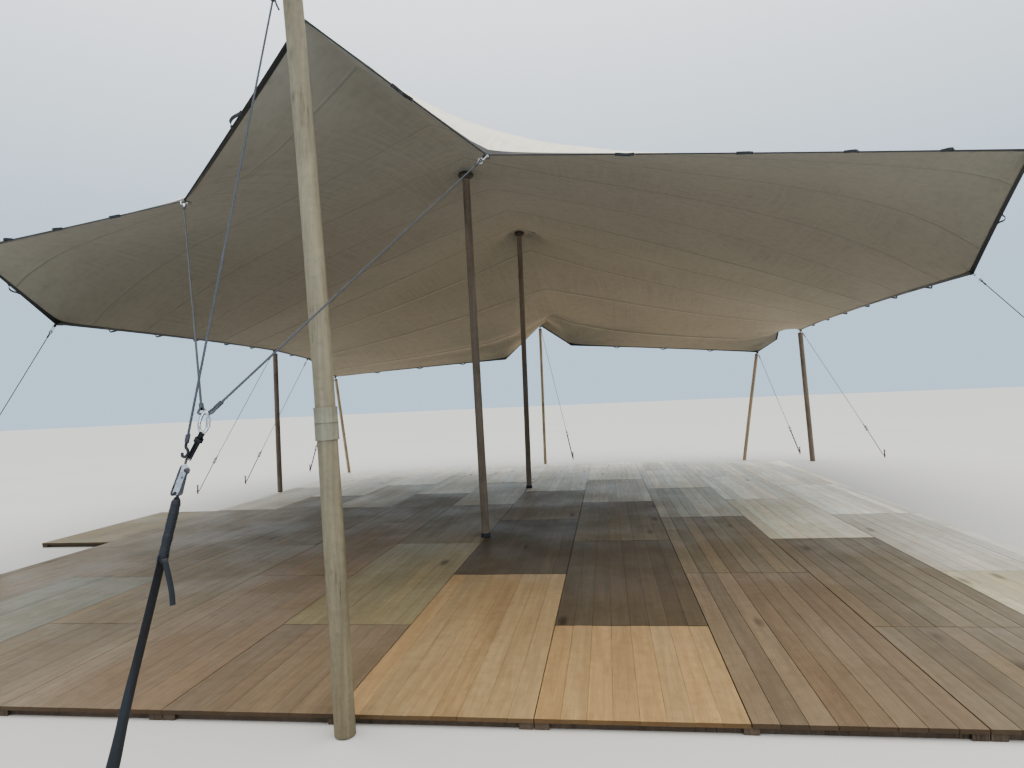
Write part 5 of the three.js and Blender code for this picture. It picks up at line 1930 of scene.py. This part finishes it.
    @staticmethod
    def winding(length):
        """A strap wound up the Z axis in overlapping turns, drawn in at both ends."""
        radius, turns, sides, steps, drawn_in = 0.0172, 15, 28, 180, 0.03
        points = []
        for step in range(steps + 1):
            z = length * step / steps
            lump = 1 + 0.05 * math.sin(9 * z / length * math.pi) * math.cos(5 * z / length)
            ends = [0.45 + 0.55 * math.sin(min(1.0, gap / drawn_in) * math.pi / 2) for gap in (z, length - z)]
            for k in range(sides):
                angle = 2 * math.pi * k / sides
                fold = (z / length * turns - k / sides) % 1.0
                oval = 1 - 0.07 * math.cos(2 * angle)
                reach = radius * min(ends) * lump * (0.93 + 0.10 * fold ** 0.6) * oval
                points.append((reach * math.cos(angle), reach * math.sin(angle), z))
        return Shape().add(points, tube_faces(steps + 1, sides) + tube_ends(steps + 1, sides))

    def add_strap(self):
        """The flat strap down to the stake, with the part of a turn that it has on the way."""
        top, up = tether_frame()
        strap_points = node_points("front_strap")
        foot = strap_points[strap_points[:, 2] < strap_points[:, 2].min() + 0.006].mean(axis=0)
        start = top - up * self.RATCHET_TO_STRAP
        run = np.linspace(0.0, 1.0, 90)
        path = start + (foot - start) * run[:, None]
        # It turns over about half way down, and curls most just past there.
        turn_at, turn_over, curl_at, curl_over = 0.5, 0.13, 0.52, 0.17
        twist = 0.95 - 0.62 * (1 + np.tanh((run - turn_at) / turn_over))
        curl = 0.35 + 1.05 * np.exp(-((run - curl_at) / curl_over) ** 2)
        strap = curled_strap(path, self.STRAP_WIDTH, 0.0026, self.FLAT_WAY, twist, curl)
        strap.join(stake_loop("front_stake", foot, 0.038, 0.0024)[0])
        strap_piece("front_strap_webbing", strap, ["front_strap"])


def tether_frame():
    """The point at the top of the front ratchet, and the way up its axis."""
    points = node_points("front_ratchet")
    middle = points.mean(axis=0)
    sleeve_top, sleeve_foot = line_of("front_strap_sleeve")
    up = unit(sleeve_top - sleeve_foot)
    return middle + up * ((points - middle) @ up).max(), up


def hook_shape(start, direction):
    """A black coated hook at the end of the rope."""
    path = [(0, 0, 0), (0, 0, 0.022), (0.010, 0, 0.034), (0.014, 0, 0.048), (0.006, 0, 0.060),
            (-0.006, 0, 0.058), (-0.010, 0, 0.046)]
    shape = sweep(smooth_path(path, 30), round_section(0.0055, 10), side=(0, 1, 0))
    return stood(shape, start, direction)


def panel_edge(k):
    return k * (LEFT_PANEL_WIDTH if k < 0 else RIGHT_PANEL_WIDTH)


class TENT_OT_deck(bpy.types.Operator):
    """Makes the boards, nails and bearers of every deck section"""

    bl_idname = "stretch_tent.deck"
    bl_label = "Deck"

    PANEL_GAP = 0.004
    NAIL_FROM_END = 0.035
    NAIL_OFF_MIDDLE = 0.28
    BATTEN_SPACING = 0.62
    CLEAR_JOINTS_FROM = 2

    def execute(self, context):
        random = np.random.default_rng(settings().deck.seed)
        for i in range(DECK_SECTIONS):
            node = f"deck_section_{i + 1}"
            first, second = FIRST_COLUMN + 2 * i, FIRST_COLUMN + 2 * i + 1
            low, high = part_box(node)
            panels = self.column_panels(first, high.y) + self.column_panels(second, high.y)
            self.add_section(node, panels, [low.x, panel_edge(second), high.x], random, "deck_boards")
        low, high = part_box("deck_side_panel")
        panels = [(low.x, high.x, low.y, high.y, "cream", 0.5)]
        self.add_section("deck_side_panel", panels, [low.x, high.x], random, "deck_pale")
        return {"FINISHED"}

    def column_panels(self, column, back):
        """The panels of one column: (left, right, front, back, tone, clarity of its joints)."""
        left, right = panel_edge(column), panel_edge(column + 1)
        ends = [DECK_FRONT]
        length = PANEL_LENGTH if column % 2 == 0 else PANEL_LENGTH / 2
        while ends[-1] + length < back - 0.05:
            ends.append(ends[-1] + length)
            length = PANEL_LENGTH
        ends.append(back)
        clarity = 1.0 if column >= self.CLEAR_JOINTS_FROM else 0.25
        return [(left, right, low, high, ODD_PANELS.get((column, number), "tan"), clarity)
                for number, (low, high) in enumerate(zip(ends, ends[1:]))]

    def add_section(self, node, panels, bearer_lines, random, slot):
        """The boards of some panels, with their nails and the timbers under them."""
        given = settings().deck
        places, sizes, tones, shifts, nails = [], [], [], [], []
        for left, right, front, back, tone_name, clarity in panels:
            panel_tone = random.uniform(0.94, 1.06)
            spread = 0.16 if clarity > 0.5 else 0.08
            width = (right - left - self.PANEL_GAP) / BOARDS_ACROSS
            middle = (front + back) / 2
            for k in range(BOARDS_ACROSS):
                joint = given.joint * (0.15 + 0.85 * clarity) * random.uniform(0.8, 1.2)
                x = left + self.PANEL_GAP / 2 + (k + 0.5) * width
                length = back - front - random.uniform(0.003, 0.006)
                sink = random.uniform(0.0, 0.0012)
                places.append((x, middle, DECK_TOP - given.thickness / 2 - sink))
                sizes.append((width - joint, length, given.thickness))
                tone = board_tone(x, middle, tone_name) * panel_tone * random.uniform(1 - spread, 1 + spread)
                warm = random.uniform(-0.04, 0.04)
                tones.append((*np.clip(tone * (1 + warm, 1.0, 1 - warm), 0, 1), 1.0))
                shifts.append(tuple(random.uniform(-20, 20, 3)))
                for y in (front + self.NAIL_FROM_END, back - self.NAIL_FROM_END):
                    for offset in (-self.NAIL_OFF_MIDDLE, self.NAIL_OFF_MIDDLE):
                        nail_y = y + random.uniform(-0.004, 0.004)
                        nails.append((x + offset * width, nail_y, DECK_TOP - sink))
        mesh = copies(board_item(), board_finish(), places, sizes=sizes, colours=tones, shifts=shifts)
        dress(mesh, f"{node}_boards", [board_finish()], [node], 30.0)
        self.add_bearers(node, bearer_lines)
        self.add_battens(node, bearer_lines, panels)
        nail = [(0.0, -0.004), (0.0036, -0.004), (0.0036, -0.0002), (0.0026, 0.0001), (0.0, 0.0001)]
        dress(copies(turned(nail, 10), stake_steel(), nails), f"{node}_nails", [stake_steel()])

    @staticmethod
    def add_bearers(node, lines):
        """The timbers on edge that the boards are nailed to."""
        low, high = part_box(node)
        half, top, edge = BEARER_WIDTH / 2, BEARER_HEIGHT - 0.0003, 0.003
        inset = half + 0.002
        section = [(-half + edge, 0.0), (half - edge, 0.0), (half, edge), (half, top), (-half, top),
                   (-half, edge)]
        shape = Shape()
        for x in (lines[0] + inset, *lines[1:-1], lines[-1] - inset):
            path = [(x, y, 0.0) for y in np.linspace(low.y + 0.01, high.y - 0.01, 12)]
            shape.join(sweep(path, section, side=(1, 0, 0)))
        new_piece(f"{node}_bearers", shape, [bearer_wood_painted_shade()], crease=30.0)

    def add_battens(self, node, lines, panels):
        """The short timbers across, between the bearers, that carry the boards of each panel."""
        width, height = BEARER_WIDTH, BEARER_HEIGHT
        outer, inner = width + 0.003, width / 2 + 0.001
        places, sizes = [], []
        for left, right, front, back, *_ in panels:
            start = left + (outer if abs(left - lines[0]) < 0.01 else inner)
            end = right - (outer if abs(right - lines[-1]) < 0.01 else inner)
            count = max(2, round((back - front) / self.BATTEN_SPACING) + 1)
            for y in np.linspace(front + 0.06, back - 0.06, count):
                places.append(((start + end) / 2, y, height / 2))
                sizes.append((end - start, width * 0.9, height - 0.0006))
        mesh = copies(batten_item(), bearer_wood_painted_shade(), places, sizes=sizes)
        dress(mesh, f"{node}_battens", [bearer_wood_painted_shade()], crease=30.0)


def board_tone(x, y, tone_name):
    """A board's colour: its panel's tone, blended towards a pale tone towards the back and the right as
    painted light and painted reflection of the open sky.
    """
    towards_light = y + PAINTED_LIGHT_SLANT * max(0.0, x - PAINTED_LIGHT_SLANT_FROM)
    painted_light = MOST_PAINTED_LIGHT * np.clip((towards_light - PAINTED_LIGHT_FROM) / (PAINTED_LIGHT_TO - PAINTED_LIGHT_FROM), 0, 1)
    tone = np.array(linear(DECK_TONES[tone_name])) * (1 - painted_light)
    return tone + np.array(linear(DECK_TONES["painted_lit"])) * painted_light


# The bearers and battens are real timbers, but their very dark colour is painted shade, standing for the
# shadow under the deck.
def bearer_wood_painted_shade():
    return pole_finish("bearer_wood_painted_shade", (0.12, 0.088, 0.062), 0.4, 0.5)


def batten_item():
    """A sawn timber of unit size."""
    corners = [(x, y, z) for z in (-0.5, 0.5) for y in (-0.5, 0.5) for x in (-0.5, 0.5)]
    faces = [(0, 1, 3, 2), (4, 5, 7, 6), (0, 1, 5, 4), (2, 3, 7, 6), (0, 2, 6, 4), (1, 3, 7, 5)]
    return Shape().add(corners, faces)


def board_item():
    """A board of unit size with eased edges, to be scaled to each place. Its ends are marked."""
    ease_x, ease_z, crown, end = 0.007, 0.035, 0.008, 0.0006
    outline = [(-0.5, -0.5), (0.5, -0.5), (0.5, 0.5 - ease_z), (0.5 - ease_x, 0.5 - crown),
               (0.0, 0.5), (-0.5 + ease_x, 0.5 - crown), (-0.5, 0.5 - ease_z)]
    points, marks = [], []
    rings = ((-0.5, 0.99, 1.0), (-0.5 + end, 1.0, 0.0), (0.5 - end, 1.0, 0.0), (0.5, 0.99, 1.0))
    for y, share, mark in rings:
        points += [(x * share, y, z * share) for x, z in outline]
        marks += [(mark, 0.0)] * len(outline)
    return Shape().add(points, tube_faces(4, len(outline)) + tube_ends(4, len(outline)), 0, marks)


class TENT_OT_stage(bpy.types.Operator):
    """Makes the floor, the light and the camera"""

    bl_idname = "stretch_tent.stage"
    bl_label = "Stage"

    FLOOR_RADIUS = 160.0
    FLOOR_TOP = -0.0015
    # Each lamp's place, what it faces, its width and depth, its power and its colour.
    LAMPS = {
        "high_lamp": ((11.0, -15.0, 17.0), (0.0, 0.0, 0.0), (22.0, 14.0), 1300.0, (1.0, 0.96, 0.9)),
        "back_lamp": ((0.3, 8.9, 0.12), (0.3, 8.8, 3.0), (13.0, 1.8), 350.0, (1.0, 0.67, 0.36)),
        "front_lamp": ((1.5, -10.6, 0.12), (1.5, -10.7, 3.6), (14.0, 2.2), 640.0, (0.50, 0.72, 1.0)),
    }

    def execute(self, context):
        self.add_camera()
        self.add_floor()
        self.add_sky()
        self.add_lamps()
        bpy.context.scene.view_settings.look = "AgX - Medium High Contrast"
        return {"FINISHED"}

    @staticmethod
    def add_camera():
        """The camera, where the photograph was taken from."""
        pitch, roll, yaw = CAMERA_PITCH, CAMERA_ROLL, CAMERA_YAW
        ahead = np.array([math.sin(yaw), math.cos(yaw), 0.0])
        level = np.array([math.cos(yaw), -math.sin(yaw), 0.0])
        forward = ahead * math.cos(pitch) + np.array([0.0, 0.0, math.sin(pitch)])
        rise = np.cross(level, forward)
        right = math.cos(roll) * level + math.sin(roll) * rise
        up = -math.sin(roll) * level + math.cos(roll) * rise
        data = bpy.data.cameras.new("camera")
        data.lens, data.sensor_width = CAMERA_LENS, SENSOR_WIDTH
        data.clip_start, data.clip_end = 0.05, 500.0
        turn = Matrix(np.stack([right, up, -forward], axis=1).tolist()).to_4x4()
        camera = shown(bpy.data.objects.new("camera", data))
        camera.matrix_world = Matrix.Translation(CAMERA_PLACE) @ turn
        bpy.context.scene.camera = camera

    def add_floor(self):
        """A wide pale floor, a little below the feet of the tent."""
        reach, top = self.FLOOR_RADIUS, self.FLOOR_TOP
        shape = turned([(0.0, -0.5), (reach, -0.5), (reach, top), (0.0, top)], 64)
        mesh = bpy.data.meshes.new("floor")
        mesh.from_pydata(shape.points, [], shape.faces)
        turn_outwards(mesh)
        finish, build, shader = new_finish("pale_floor", roughness=0.9, specular=0.2)
        clouds = build.mottle(build.spot(), 0.25, 3.0)["Clouds"]
        colour = tuple(settings().stage.floor)
        build.link(build.mix(clouds, shade(colour, 0.985), shade(colour, 1.015)), shader["Base Color"])
        mesh.materials.append(finish)
        shown(bpy.data.objects.new("floor", mesh))

    @staticmethod
    def add_sky():
        """Even light from all round, as under cloud: bluer along the horizon, whiter from above."""
        given = settings().stage
        world = bpy.data.worlds.new("studio")
        bpy.context.scene.world = world
        world.use_nodes = True
        build = Tree(world.node_tree)
        way = build.add("ShaderNodeTexCoord").outputs["Generated"]
        height = build.add("ShaderNodeSeparateXYZ", {0: way}).outputs[2]
        dome = build.mix(build.ramp(height, 0.12, 0.95), (*given.horizon, 1.0), (*given.sky, 1.0))
        background = world.node_tree.nodes["Background"]
        build.link(dome, background.inputs["Color"])
        background.inputs["Strength"].default_value = given.sky_strength

    def add_lamps(self):
        """A high soft lamp from the front right, and two low ones that shine up under the cloth."""
        for name, (stand, target, size, power, colour) in self.LAMPS.items():
            lamp = bpy.data.lights.new(name, "AREA")
            lamp.shape, lamp.size, lamp.size_y = "RECTANGLE", *size
            lamp.energy, lamp.color = power, colour
            place = shown(bpy.data.objects.new(name, lamp))
            aim = (Vector(target) - Vector(stand)).to_track_quat("-Z", "Y").to_matrix().to_4x4()
            place.matrix_world = Matrix.Translation(stand) @ aim
            place.visible_camera = False


class TENT_PT_panel(bpy.types.Panel):
    """Lists the tent's pieces and their sizes"""

    bl_idname = "TENT_PT_panel"
    bl_label = "Stretch tent"
    bl_space_type = "VIEW_3D"
    bl_region_type = "UI"
    bl_category = "Tent"

    def draw(self, context):
        for group in ("cloth", "poles", "ropes", "deck", "stage"):
            box = self.layout.box()
            values = getattr(context.scene.stretch_tent, group)
            for name in values.__annotations__:
                box.prop(values, name)
        for operator in OPERATORS:
            self.layout.operator(operator.bl_idname)


OPERATORS = (
    TENT_OT_stage,
    TENT_OT_ridge_poles,
    TENT_OT_edge_poles,
    TENT_OT_front_pole,
    TENT_OT_canopy,
    TENT_OT_hems,
    TENT_OT_guys,
    TENT_OT_front_tether,
    TENT_OT_deck,
)
SETTINGS = (ClothSettings, PoleSettings, RopeSettings, DeckSettings, StageSettings, TentSettings)


def register():
    for kind in (*SETTINGS, *OPERATORS, TENT_PT_panel):
        bpy.utils.register_class(kind)
    bpy.types.Scene.stretch_tent = PointerProperty(type=TentSettings)


def unregister():
    del bpy.types.Scene.stretch_tent
    for kind in reversed((*SETTINGS, *OPERATORS, TENT_PT_panel)):
        bpy.utils.unregister_class(kind)


def main():
    register()
    for operator in OPERATORS:
        group, name = operator.bl_idname.split(".")
        getattr(getattr(bpy.ops, group), name)()


if __name__ == "__main__":
    main()
